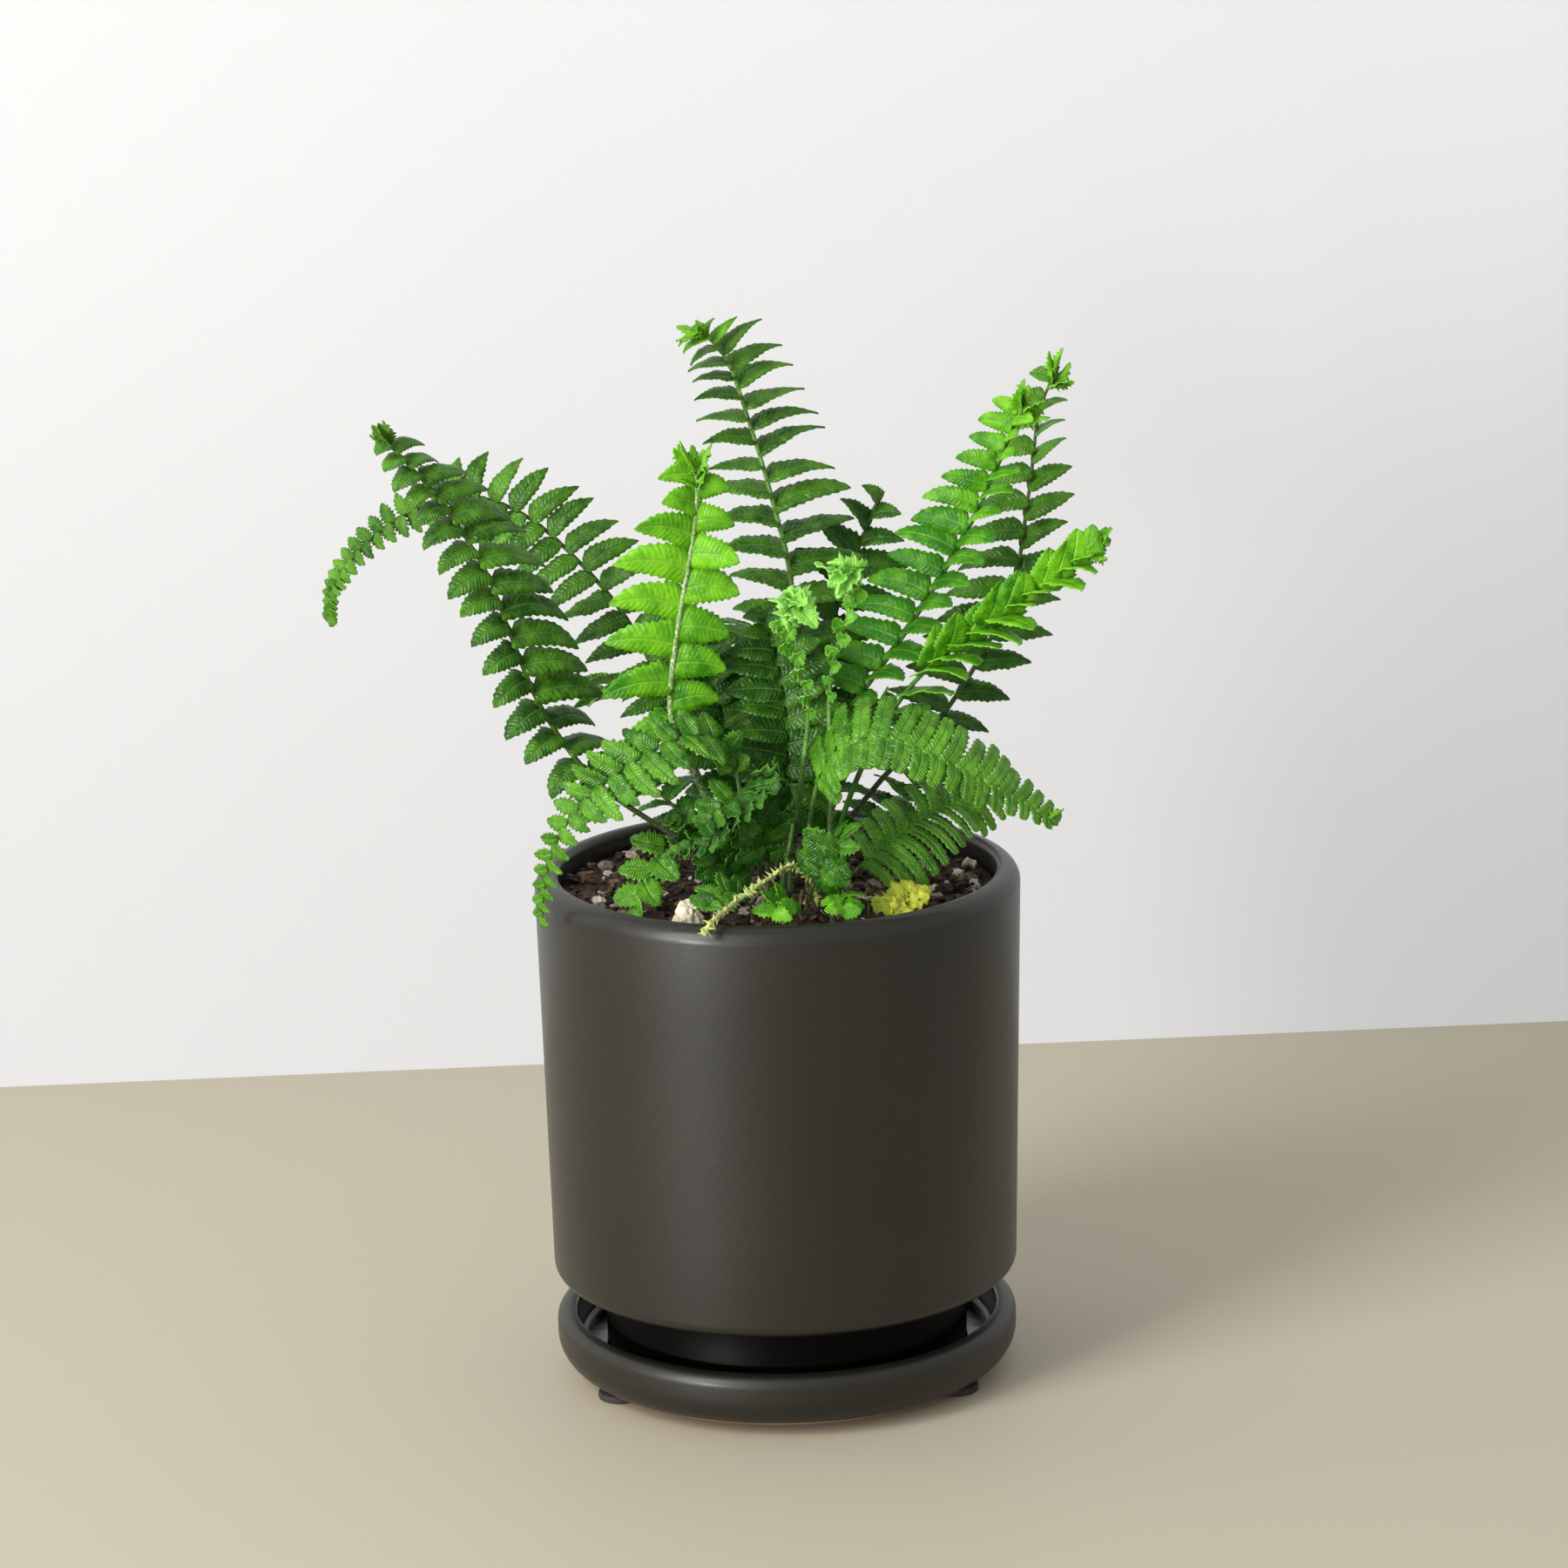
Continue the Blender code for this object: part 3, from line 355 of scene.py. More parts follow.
def face_out(piece: Piece) -> None:
    """Turn the faces of a piece in edit mode outwards and leave edit mode.

    Args:
        piece: The piece.
    """
    bpy.ops.mesh.select_all(action="SELECT")
    bpy.ops.mesh.normals_make_consistent(inside=False)
    settle(piece, piece.name)


class Graph:
    """The nodes of one material, with short names for the steps that the finishes need."""

    def __init__(self, name: str) -> None:
        """Start a material with a Principled shader.

        Args:
            name: The material's name.
        """
        self.material = bpy.data.materials.new(name)
        self.material.use_nodes = True
        self.tree = self.material.node_tree
        self.shader = self.tree.nodes["Principled BSDF"]
        self.output = self.tree.nodes["Material Output"]

    def link(self, source: object, target: Socket) -> None:
        """Join a socket, or set a plain value, on another socket.

        Args:
            source: The socket or the value.
            target: The socket that takes it.
        """
        if isinstance(source, Socket):
            self.tree.links.new(source, target)
        elif isinstance(source, tuple) and len(source) == 3 and target.type == "RGBA":
            target.default_value = (*source, 1.0)
        else:
            target.default_value = source

    def add(self, kind: str, *inputs: object, **settings: object) -> bpy.types.Node:
        """Add a node.

        Args:
            kind: Its type, without the common prefix.
            inputs: Sockets or values for its first inputs; None leaves one alone.
            settings: Its properties by name.

        Returns:
            The node.
        """
        node = self.tree.nodes.new("ShaderNode" + kind)
        for key, value in settings.items():
            setattr(node, key, value)
        for source, target in zip(inputs, node.inputs):
            if source is not None:
                self.link(source, target)
        return node

    def math(self, step: str, *values: object, clamp: bool = False) -> Socket:
        """Give the result of a Math node."""
        return self.add("Math", *values, operation=step, use_clamp=clamp).outputs[0]

    def times(self, first: object, second: object) -> Socket:
        """Give the product of two values."""
        return self.math("MULTIPLY", first, second)

    def mix(self, share: object, first: object, second: object) -> Socket:
        """Give the mix of two colours.

        Args:
            share: The second colour's share.
            first: The first colour.
            second: The second colour.

        Returns:
            The mixed colour.
        """
        node = self.add("Mix", data_type="RGBA")
        self.link(share, node.inputs[0])
        self.link(first, node.inputs[6])
        self.link(second, node.inputs[7])
        return node.outputs[2]

    def span(self, value: object, low: float, high: float, start: float = 0.0,
             end: float = 1.0) -> Socket:
        """Map low..high smoothly to start..end."""
        node = self.add("MapRange", value, low, high, start, end, interpolation_type="SMOOTHSTEP")
        return node.outputs[0]

    def place(self) -> Socket:
        """Give Object coordinates."""
        return self.add("TexCoord").outputs["Object"]

    def noise(self, scale: float, detail: float = 2.0, rough: float = 0.5) -> Socket:
        """Give a noise value, read at Object coordinates.

        Args:
            scale: How fine it is, counted per metre.
            detail: Its octaves.
            rough: Their strength.

        Returns:
            The value.
        """
        node = self.add("TexNoise")
        self.link(self.place(), node.inputs["Vector"])
        node.inputs["Scale"].default_value = scale
        node.inputs["Detail"].default_value = detail
        node.inputs["Roughness"].default_value = rough
        return node.outputs[0]

    def tone(self) -> Socket:
        """Give the tone written on the mesh."""
        return self.add("Attribute", attribute_name=TONE).outputs["Fac"]

    def bump(self, height: object, strength: float, depth: float) -> None:
        """Raise the surface by a height, in metres of depth.

        Args:
            height: The height.
            strength: How much of it counts.
            depth: Metres for a height of one.
        """
        node = self.add("Bump")
        node.inputs["Strength"].default_value = strength
        node.inputs["Distance"].default_value = depth
        self.link(height, node.inputs["Height"])
        self.link(node.outputs[0], self.shader.inputs["Normal"])

    def set(self, **values: object) -> None:
        """Set inputs of the shader, with _ for a space in their names."""
        for key, value in values.items():
            self.link(value, self.shader.inputs[key.replace("_", " ")])


@dataclass(frozen=True)
class LeafFinish:
    """The upper or under side of a leaflet, with its midrib and forked veins.

    Through is the share of light that shines through, ribs the number of side veins along a
    leaflet and slant how far they run forward, clouding how much the colour varies on it and
    pale_edge how much lighter its edge is.
    """

    name: str
    deep: Colour
    light: Colour
    vein: Colour
    glow: Colour
    roughness: float = 0.4
    sheen: float = 0.5
    through: float = 0.25
    relief: float = 0.5
    veins: float = 0.3
    ribs: float = 13.0
    slant: float = 1.7
    clouding: float = 0.34
    pale_edge: float = 0.35

    def build(self) -> Material:
        """Make the material.

        Returns:
            A mix of a glossy and a translucent shader.
        """
        g = Graph(self.name)
        where = g.add("SeparateXYZ", g.add("UVMap", uv_map="UVMap").outputs[0])
        along, across = where.outputs[0], where.outputs[1]
        side = g.math("ABSOLUTE", g.math("MULTIPLY_ADD", across, 2.0, -1.0))
        wander = g.times(g.noise(420.0, 1.0), 0.35)
        ribs = g.math("ADD", g.times(along, self.ribs), wander)
        ribs = g.math("SUBTRACT", ribs, g.times(side, self.slant))
        wave = g.math("PINGPONG", ribs, 0.5)
        line = g.span(wave, 0.0, 0.11, 1.0, 0.0)
        forked = g.span(g.math("PINGPONG", g.times(ribs, 2.0), 0.5), 0.0, 0.16, 1.0, 0.0)
        forked = g.times(forked, g.span(side, 0.45, 0.6))
        veined = g.math("MAXIMUM", line, forked)
        midrib = g.span(side, 0.02, 0.11, 1.0, 0.0)
        tone = g.tone()
        cloud = g.span(g.noise(210.0, 3.0, 0.6), 0.3, 0.7, -self.clouding, self.clouding)
        body = g.mix(g.math("ADD", tone, cloud, clamp=True), self.deep, self.light)
        edge = g.span(side, 0.8, 1.0, 0.0, self.pale_edge)
        body = g.mix(edge, body, self.light)
        body = g.mix(g.times(veined, self.veins * 0.6), body, self.vein)
        body = g.mix(g.times(midrib, self.veins), body, self.vein)
        spot = g.span(g.noise(900.0, 2.0), 0.55, 0.72, 0.0, 0.12)
        g.set(
            Base_Color=body, Roughness=g.math("ADD", spot, self.roughness),
            Specular_IOR_Level=self.sheen,
        )
        puff = g.math("SUBTRACT", g.times(wave, g.span(side, 0.0, 0.35, 0.0, 0.6)), midrib)
        puff = g.math("ADD", puff, g.times(g.noise(330.0, 2.0, 0.6), 2.2))
        g.bump(puff, self.relief, 0.0008)
        glow = g.add("BsdfTranslucent")
        g.link(g.mix(g.times(veined, 0.35), self.glow, self.deep), glow.inputs["Color"])
        share = g.add("MixShader", self.through, g.shader.outputs[0], glow.outputs[0])
        g.link(share.outputs[0], g.output.inputs["Surface"])
        return g.material


@dataclass(frozen=True)
class StemFinish:
    """A grooved stem with pale flecks of scale on it."""

    name: str
    body: Colour
    fleck: Colour
    flecks: float = 0.5
    roughness: float = 0.55

    def build(self) -> Material:
        """Make the material from fine streaks and flecks.

        Returns:
            The material.
        """
        g = Graph(self.name)
        fine = g.span(g.noise(1300.0, 3.0, 0.65), 0.62 - 0.2 * self.flecks, 0.72)
        broad = g.span(g.noise(160.0, 2.0), 0.35, 0.65, -0.25, 0.25)
        tone = g.math("ADD", g.tone(), broad, clamp=True)
        shade = g.mix(tone, scaled(self.body, 0.25), self.body)
        g.set(
            Base_Color=g.mix(g.times(fine, self.flecks), shade, self.fleck),
            Roughness=self.roughness,
        )
        g.bump(fine, 0.6, 0.0002)
        return g.material


@dataclass(frozen=True)
class GlazeFinish:
    """Fired glaze with fine pin-prick grain, matte or pooled and glossy.

    Below foot_top the clay is bare, where a foot's colour is given. Within gloss_radius of
    the axis and above gloss_floor the glaze is pooled, where a radius is given. Both are in
    millimetres.
    """

    name: str
    colour: Colour
    roughness: float
    sheen: float = 0.5
    coat: float = 0.0
    grain: float = 0.25
    foot: Optional[Colour] = None
    foot_top: float = 0.0
    gloss_radius: float = 0.0
    gloss_floor: float = 0.0

    def build(self) -> Material:
        """Make the material.

        Returns:
            A Principled glaze, with a bare clay foot and a glossy inside where they are set.
        """
        g = Graph(self.name)
        grain = g.noise(2600.0, 2.0, 0.6)
        cloud = g.span(g.noise(28.0, 3.0), 0.3, 0.7, 0.0, 1.0)
        colour = g.mix(cloud, scaled(self.colour, 0.86), scaled(self.colour, 1.12))
        prick = g.span(grain, 0.6, 0.72, 0.0, 0.35)
        colour = g.mix(prick, colour, scaled(self.colour, 1.9))
        rough: object = g.math("ADD", g.span(grain, 0.3, 0.7, -0.04, 0.05), self.roughness)
        relief: object = g.times(grain, self.grain)
        where = g.add("SeparateXYZ", g.place())
        if self.foot is not None:
            ragged = g.times(g.noise(90.0, 2.0), 0.0009)
            level = g.math("SUBTRACT", where.outputs[2], ragged)
            bare = g.span(level, (self.foot_top - 0.25) * MM, (self.foot_top + 0.1) * MM, 1.0, 0.0)
            colour = g.mix(bare, colour, self.foot)
            rough = g.math("MAXIMUM", rough, g.times(bare, 0.8))
        if self.gloss_radius:
            x = g.math("SUBTRACT", where.outputs[0], float(POT_AXIS[0]) * MM)
            y = g.math("SUBTRACT", where.outputs[1], float(POT_AXIS[1]) * MM)
            reach = g.math("SQRT", g.math("ADD", g.times(x, x), g.times(y, y)))
            reach = g.math("ADD", reach, g.times(g.noise(60.0, 2.0), 0.0008))
            edge = (self.gloss_radius + 0.4) * MM
            inside = g.span(reach, edge - 0.0006, edge + 0.0004, 1.0, 0.0)
            inside = g.times(inside, g.span(
                where.outputs[2], self.gloss_floor * MM, (self.gloss_floor + 0.5) * MM))
            pooled = g.times(g.noise(140.0, 2.0), 1.2)
            rough = g.times(rough, g.span(inside, 0.0, 1.0, 1.0, 0.13))
            relief = g.math("ADD", relief, g.times(pooled, inside))
            colour = g.mix(inside, colour, scaled(self.colour, 0.35))
        g.set(Base_Color=colour, Roughness=rough, Specular_IOR_Level=self.sheen,
              Coat_Weight=self.coat, Coat_Roughness=0.2)
        g.bump(relief, 0.35, 0.0004)
        return g.material


@dataclass(frozen=True)
class GritFinish:
    """Crumbs, chips or stone whose colour runs from dark to pale by a number on each piece."""

    name: str
    dark: Colour
    middle: Colour
    pale: Colour
    roughness: float = 0.85
    relief: float = 0.7
    scale: float = 700.0

    def build(self) -> Material:
        """Make the material from the pieces' tones, with pits and dust.

        Returns:
            The material.
        """
        g = Graph(self.name)
        fine = g.noise(self.scale, 4.0, 0.65)
        tone = g.math("ADD", g.tone(), g.span(fine, 0.2, 0.8, -0.3, 0.3), clamp=True)
        low = g.mix(g.span(tone, 0.0, 0.5), self.dark, self.middle)
        g.set(Base_Color=g.mix(g.span(tone, 0.5, 1.0), low, self.pale), Roughness=self.roughness)
        g.bump(fine, self.relief, 0.0006)
        return g.material


@dataclass(frozen=True)
class StudioFinish:
    """Smooth painted board for the floor or the wall.

    Glow lights it evenly from within, and low is how bright its foot is against its top, a
    painted shade that darkens it over its lowest 0.4 m towards the floor.
    """

    name: str
    colour: Colour
    roughness: float
    one_way: bool = False
    glow: float = 0.0
    low: float = 1.0

    def build(self) -> Material:
        """Make the material, clear from behind where it is one way.

        Returns:
            The material.
        """
        g = Graph(self.name)
        cloud = g.span(g.noise(3.0, 2.0), 0.3, 0.7)
        colour = g.mix(cloud, self.colour, scaled(self.colour, 0.975))
        # Painted shade: darker towards the floor, over the lowest 0.4 m of the board.
        rise = g.span(g.add("SeparateXYZ", g.place()).outputs[2], 0.0, 0.4, 1.0, 0.0)
        colour = g.mix(rise, colour, scaled(self.colour, self.low))
        g.set(
            Base_Color=colour, Roughness=self.roughness, Specular_IOR_Level=0.3,
            Emission_Color=colour, Emission_Strength=self.glow,
        )
        if self.one_way:
            clear = g.add("BsdfTransparent")
            behind = g.add("NewGeometry").outputs["Backfacing"]
            share = g.add("MixShader", behind, g.shader.outputs[0], clear.outputs[0])
            g.link(share.outputs[0], g.output.inputs["Surface"])
        return g.material


def leaf_pair(name: str, deep: Colour, light: Colour, vein: Colour,
              **more: float) -> tuple[LeafFinish, LeafFinish]:
    """Make the finishes of a leaf's two sides.

    Args:
        name: The common name.
        deep: Colour of its darkest leaflets.
        light: Colour of its palest leaflets.
        vein: Colour of midrib and veins.
        more: Other values of the upper side.

    Returns:
        The finish of the upper side and of the under side.
    """
    glow = (light[0] * 1.7, light[1] * 1.25, light[2] * 0.6)
    upper = LeafFinish(f"{name}_upper", deep, light, vein, glow, **more)
    pale = tuple(0.75 * a + 0.25 * b for a, b in zip(light, vein))
    under = LeafFinish(
        f"{name}_under", tuple(0.5 * (a + b) for a, b in zip(deep, light)), pale, vein, glow,
        roughness=0.55, sheen=0.3, relief=0.7, veins=0.45,
    )
    return upper, under


class LeafTint(Enum):
    """The leaf colours on the plant, named as the record's slots."""

    DARK = "frond_dark"
    MID = "frond_mid"
    BRIGHT = "frond_bright"
    BLUE = "frond_blue"
    LIME = "frond_lime"
    YELLOW = "frond_yellow"


LEAF_FINISHES = {
    LeafTint.DARK: leaf_pair("leaf_dark", (0.010, 0.072, 0.0008), (0.10, 0.30, 0.014),
                             (0.19, 0.40, 0.07), roughness=0.3, sheen=0.34, relief=0.55),
    LeafTint.MID: leaf_pair("leaf_mid", (0.012, 0.11, 0.001), (0.14, 0.41, 0.022),
                            (0.28, 0.52, 0.10), roughness=0.25, sheen=0.46, relief=0.7),
    LeafTint.BRIGHT: leaf_pair("leaf_bright", (0.022, 0.17, 0.001), (0.23, 0.62, 0.018),
                               (0.36, 0.70, 0.12), roughness=0.33, sheen=0.3, through=0.3,
                               relief=0.4, veins=0.22),
    LeafTint.BLUE: leaf_pair("leaf_blue", (0.008, 0.07, 0.003), (0.10, 0.32, 0.03),
                             (0.24, 0.46, 0.14), roughness=0.32, sheen=0.3, relief=0.6),
    LeafTint.LIME: leaf_pair("leaf_lime", (0.07, 0.32, 0.006), (0.40, 0.84, 0.16),
                             (0.52, 0.88, 0.30), sheen=0.3, through=0.35),
    LeafTint.YELLOW: leaf_pair("leaf_yellow", (0.13, 0.30, 0.01), (0.66, 0.70, 0.07),
                               (0.6, 0.6, 0.14), roughness=0.5, through=0.3),
}

STEM_GREEN = StemFinish("stem_green", (0.16, 0.36, 0.06), (0.5, 0.68, 0.3), 0.45)
STEM_DARK = StemFinish("stem_dark", (0.07, 0.13, 0.022), (0.20, 0.22, 0.08), 0.5)
STEM_LEAFY = StemFinish("stem_leafy", (0.06, 0.27, 0.012), (0.2, 0.42, 0.06), 0.3)
STEM_PALE = StemFinish("stem_pale", (0.26, 0.48, 0.12), (0.75, 0.85, 0.55), 0.85)
STEM_BROWN = StemFinish("stem_brown", (0.16, 0.12, 0.05), (0.36, 0.26, 0.12), 0.6)
RUNNER_PALE = StemFinish("runner_pale", (0.52, 0.60, 0.17), (0.85, 0.9, 0.5), 0.7, 0.7)
STEM_FINISHES = (STEM_GREEN, STEM_DARK, STEM_LEAFY, STEM_PALE, STEM_BROWN, RUNNER_PALE)
POT_GLAZE = GlazeFinish("pot_glaze", (0.0068, 0.0056, 0.0027), 0.44, sheen=0.45, coat=0.22)
# Near-black glaze of the pot's foot with little sheen: painted shade for the recess under the pot's
# body.
POT_FOOT_SHADE_GLAZE = GlazeFinish("pot_foot_glaze", (0.0016, 0.0014, 0.001), 0.42, sheen=0.05)
SAUCER_GLAZE = GlazeFinish(
    "saucer_glaze", (0.0070, 0.0058, 0.0029), 0.45, sheen=0.45, coat=0.14,
    foot=(0.42, 0.25, 0.12), foot_top=3.0, gloss_radius=51.0, gloss_floor=5.0,
)
PAD_RUBBER = GlazeFinish("pad_rubber", (0.032, 0.03, 0.028), 0.75, sheen=0.3, grain=0.8)
MIX_GRIT = GritFinish("mix_grit", (0.012, 0.0055, 0.003), (0.055, 0.026, 0.014), (0.22, 0.13, 0.08))
PUMICE_GRIT = GritFinish("pumice_grit", (0.13, 0.09, 0.065), (0.40, 0.31, 0.25), (0.80, 0.73, 0.64),
                         scale=1200.0)
STONE_GRIT = GritFinish("stone_grit", (0.34, 0.28, 0.19), (0.60, 0.54, 0.39), (0.76, 0.71, 0.56),
                        scale=500.0, relief=0.4)
FLOOR_BOARD = StudioFinish("floor_board", (0.470, 0.428, 0.328), 0.6)
# The wall's low of 0.87 paints shade along its foot, where it meets the floor.
WALL_BOARD = StudioFinish(
    "wall_board", (0.385, 0.386, 0.390), 0.9, one_way=True, glow=1.0, low=0.87)


# How close to a line a vertex of a unit leaflet counts as on it
NEAR = 1e-4


class LeafKind(Enum):
    """The leaflet outlines that the plant has."""

    EARED = "eared"
    PLAIN = "plain"
    STRAP = "strap"
    SLIVER = "sliver"
    YOUNG = "young"


@dataclass(frozen=True)
class LeafPattern:
    """A flat leaflet of unit length, from which every leaflet of its kind is copied.

    Lines give how far its front and back edges stand out from the midrib, in shares of its
    width. The front edge has the ear that such leaflets have at their foot. Bite is how deep
    the notches between teeth are, lean how far they point forward, in stations, and keel how
    far the midrib lies below the blade.
    """

    front: Line
    back: Line
    bite: float = 0.13
    stations: int = 18
    every: int = 2
    columns: int = 4
    narrowest: float = 0.012
    lean: float = 0.35
    keel: float = 0.035

    def build(self, name: str) -> Piece:
        """Shape a grid row by row into the leaflet's toothed outline.

        Args:
            name: The pattern's name.

        Returns:
            The pattern, its upper side facing up.
        """
        deselect()
        bpy.ops.mesh.primitive_grid_add(
            x_subdivisions=self.stations, y_subdivisions=self.columns, size=1.0,
            location=(0.5, 0.0, 0.0),
        )
        blade = settle(bpy.context.object, name)
        start_edit(blade)
        edges = ((self.front, 1), (self.back, -1))
        for station in range(self.stations + 1):
            at = station / self.stations
            for line, hand in edges:
                pick(blade, lambda p: abs(p.x - at) < NEAR and p.y * hand > NEAR)
                width = max(self.narrowest, read_line(line, at)) * 2.0
                bpy.ops.transform.resize(value=(1.0, width, 1.0), center_override=(at, 0.0, 0.0))
        for station in range(self.every, self.stations, self.every):
            at = station / self.stations
            for line, hand in edges:
                rim = read_line(line, at) * hand
                pick(blade, lambda p: abs(p.x - at) < NEAR and abs(p.y - rim) < NEAR)
                bpy.ops.transform.resize(
                    value=(1.0, 1.0 - self.bite, 1.0), center_override=(at, 0.0, 0.0))
                bpy.ops.transform.translate(value=(-self.lean / self.stations, 0.0, 0.0))
        pick(blade, lambda p: abs(p.y) < NEAR / 10)
        bpy.ops.transform.translate(value=(0.0, 0.0, -self.keel))
        return settle(blade, name)


LEAF_PATTERNS = {
    LeafKind.EARED: LeafPattern(
        front=((0, 0.30), (0.05, 0.56), (0.11, 0.66), (0.20, 0.62), (0.33, 0.51), (0.5, 0.46),
               (0.7, 0.40), (0.84, 0.30), (0.94, 0.17), (1, 0.01)),
        back=((0, 0.24), (0.06, 0.37), (0.15, 0.42), (0.3, 0.44), (0.48, 0.42), (0.66, 0.35),
              (0.82, 0.25), (0.93, 0.13), (1, 0.01)),
    ),
    LeafKind.PLAIN: LeafPattern(
        front=((0, 0.11), (0.06, 0.40), (0.14, 0.58), (0.24, 0.58), (0.4, 0.49), (0.64, 0.40),
               (0.82, 0.26), (0.93, 0.12), (1, 0.01)),
        back=((0, 0.09), (0.07, 0.26), (0.18, 0.38), (0.38, 0.43), (0.62, 0.41), (0.8, 0.28),
              (0.92, 0.14), (1, 0.01)),
    ),
    LeafKind.STRAP: LeafPattern(
        front=((0, 0.42), (0.08, 0.54), (0.2, 0.55), (0.4, 0.48), (0.7, 0.46), (0.86, 0.43),
               (0.95, 0.34), (1, 0.2)),
        back=((0, 0.38), (0.1, 0.46), (0.3, 0.45), (0.6, 0.42), (0.86, 0.38), (0.94, 0.28),
              (1, 0.12)),
        bite=0.26, stations=16,
    ),
    LeafKind.YOUNG: LeafPattern(
        front=((0, 0.2), (0.1, 0.4), (0.25, 0.56), (0.45, 0.52), (0.65, 0.46), (0.8, 0.36),
               (0.92, 0.2), (1, 0.03)),
        back=((0, 0.18), (0.12, 0.34), (0.3, 0.48), (0.5, 0.5), (0.7, 0.4), (0.85, 0.28),
              (1, 0.03)),
        bite=0.3, stations=12,
    ),
    LeafKind.SLIVER: LeafPattern(
        front=((0, 0.12), (0.06, 0.44), (0.12, 0.58), (0.22, 0.52), (0.45, 0.40), (0.65, 0.29),
               (0.8, 0.17), (0.92, 0.07), (1, 0.01)),
        back=((0, 0.1), (0.08, 0.28), (0.2, 0.38), (0.4, 0.38), (0.62, 0.27), (0.8, 0.16),
              (0.92, 0.07), (1, 0.01)),
    ),
}

# Places on a flat leaflet that show how far it reaches
LEAF_REACH = np.array(
    [(along, across, 0.0) for along in (0.0, 0.2, 0.4, 0.6, 0.8, 1.0) for across in (-0.6, 0.0, 0.6)])

# Millimetres of blade thickness in the fine leaflets
BLADE_THICKNESS = 0.26

# Heights at which every stem starts and ends its straight part
STEM_FOOT = 105.3
STRAIGHT_TOP = 122.0

# Even samples of a stem's route, and the solids' step between rings of a bare stem
ROUTE_SAMPLES = 160
RAIL_STEP = 9.0

# Share of a stem at which its last leaflet stands
LEAFY_END = 0.985

# What a leaflet of the solid may have tried: degrees more of lift and of pitch, and its size
SHIFTS = (
    (0, 0, 1.0), (9, 0, 1.0), (-9, 0, 1.0), (0, 14, 1.0), (0, -14, 1.0),
    (18, 8, 0.95), (-18, -8, 0.95), (18, -8, 0.9), (-18, 8, 0.9), (0, 0, 0.8),
    (28, 0, 0.8), (-28, 0, 0.8), (12, 20, 0.75), (-12, -20, 0.75), (0, 0, 0.6),
    (35, 10, 0.6), (-35, -10, 0.6), (0, 0, 0.45),
)

# Millimetres within which a leaflet's tip is on its solid, and the segments of the leafy part
# within which a shown leaflet has one of the solid's beside it
SAME_PLACE = 0.05
BESIDE = 1.6


@dataclass(frozen=True)
class FrondPlan:
    """One frond: its stem's route, how its blade faces and how its leaflets stand on it.

    Pairs of values hold at the first leaflet and at the tip. Angles are in degrees: sweep
    turns a leaflet towards the tip, skew turns the two hands' ones opposite ways, lift raises
    it off the blade's plane and pitch turns its upper face towards the tip. Right and left
    are the hands' shares of full length. All fields from fine on are for the shown leaflets
    alone.

    Fine is their number of pairs, where it differs from the solid's, and broad is how wide
    they are against the solid's. Arch bows a leaflet towards the tip and swell off its plane,
    in shares of its length. Cover is how far above the stem's middle their feet lie, in
    millimetres. Lean is more sweep, tilt more pitch and shown the share of the solid's
    length, each for the right and the left hand. Loose is how much they differ from each
    other. Crowd sets them closer together towards the tip, ease takes curl away, dip turns
    their tips back and foot_share is the first ones' share of their length. From young_from
    on they have the crown's colour. Cup raises a leaflet's edges and ripple waves them, in
    shares of its width. Crown is the number of young leaflets round the tip: crown_size is
    their length, crown_broad how wide they are, crumple waves their edges and closed is how
    far they are folded.
    """

    name: str
    tint: LeafTint
    foot: Pair
    route: tuple[Point, ...]
    face: tuple[Point, Point]
    pairs: int
    leafy_from: float = 0.4
    length: float = 17.0
    width: float = 7.2
    profile: Line = ((0.0, 0.75), (0.15, 1.0), (0.7, 0.85), (1.0, 0.3))
    right: float = 1.0
    left: float = 1.0
    sweep: Pair = (2, 25)
    skew: Pair = (0, 0)
    lift: Pair = (12, 12)
    pitch: Pair = (15, 15)
    twist: float = 10.0
    curl: float = 0.12
    hook: float = 0.06
    droop: float = 0.0
    stem: float = 0.85
    leaf: LeafKind = LeafKind.PLAIN
    tip_leaf: Optional[LeafKind] = None
    fine: int = 0
    broad: float = 1.1
    arch: float = 0.07
    swell: float = 0.04
    cover: float = 0.7
    lean: Pair = (0, 0)
    tilt: Pair = (0, 0)
    shown: Pair = (1.0, 1.0)
    loose: float = 1.0
    crowd: float = 1.0
    ease: float = 0.0
    dip: float = 0.0
    foot_share: float = 1.0
    young_from: float = 1.0
    cup: float = 0.06
    ripple: float = 0.025
    # Tone runs the leaflets from dark at the first to pale at the tip; on some fronds its low values
    # are painted shade.
    tone: Pair = (0.35, 0.6)
    stem_finish: StemFinish = STEM_GREEN
    hairs: int = 40
    crown: int = 0
    crown_size: float = 6.0
    crown_broad: float = 1.0
    crown_tint: LeafTint = LeafTint.BRIGHT
    crumple: float = 0.09
    closed: Pair = (0.2, 0.75)


CROZIER = FrondPlan(
    "crozier_left", LeafTint.LIME, (3, -9),
    ((6, -13, 147), (8, -17, 166), (5, -19, 178), (2, -20, 187), (4, -23, 193), (7, -25, 191)),
    ((0.1, -1, 0.1), (0.2, -0.8, -0.5)), 6, leafy_from=0.62, length=9.0, width=7.0,
    profile=((0.0, 0.6), (0.5, 1.0), (1.0, 0.8)), sweep=(20, 45), lift=(15, 20),
    pitch=(-10, 0), twist=0, curl=-0.1, stem=0.9, leaf=LeafKind.YOUNG, fine=6, broad=0.6,
    shown=(0.45, 0.45), cup=0.3, ripple=0.15, tone=(-0.1, 0.4), hairs=320, crown=7,
    crown_size=9.5, crown_broad=1.65, crown_tint=LeafTint.LIME, crumple=0.12, closed=(0.0, 0.4),
)

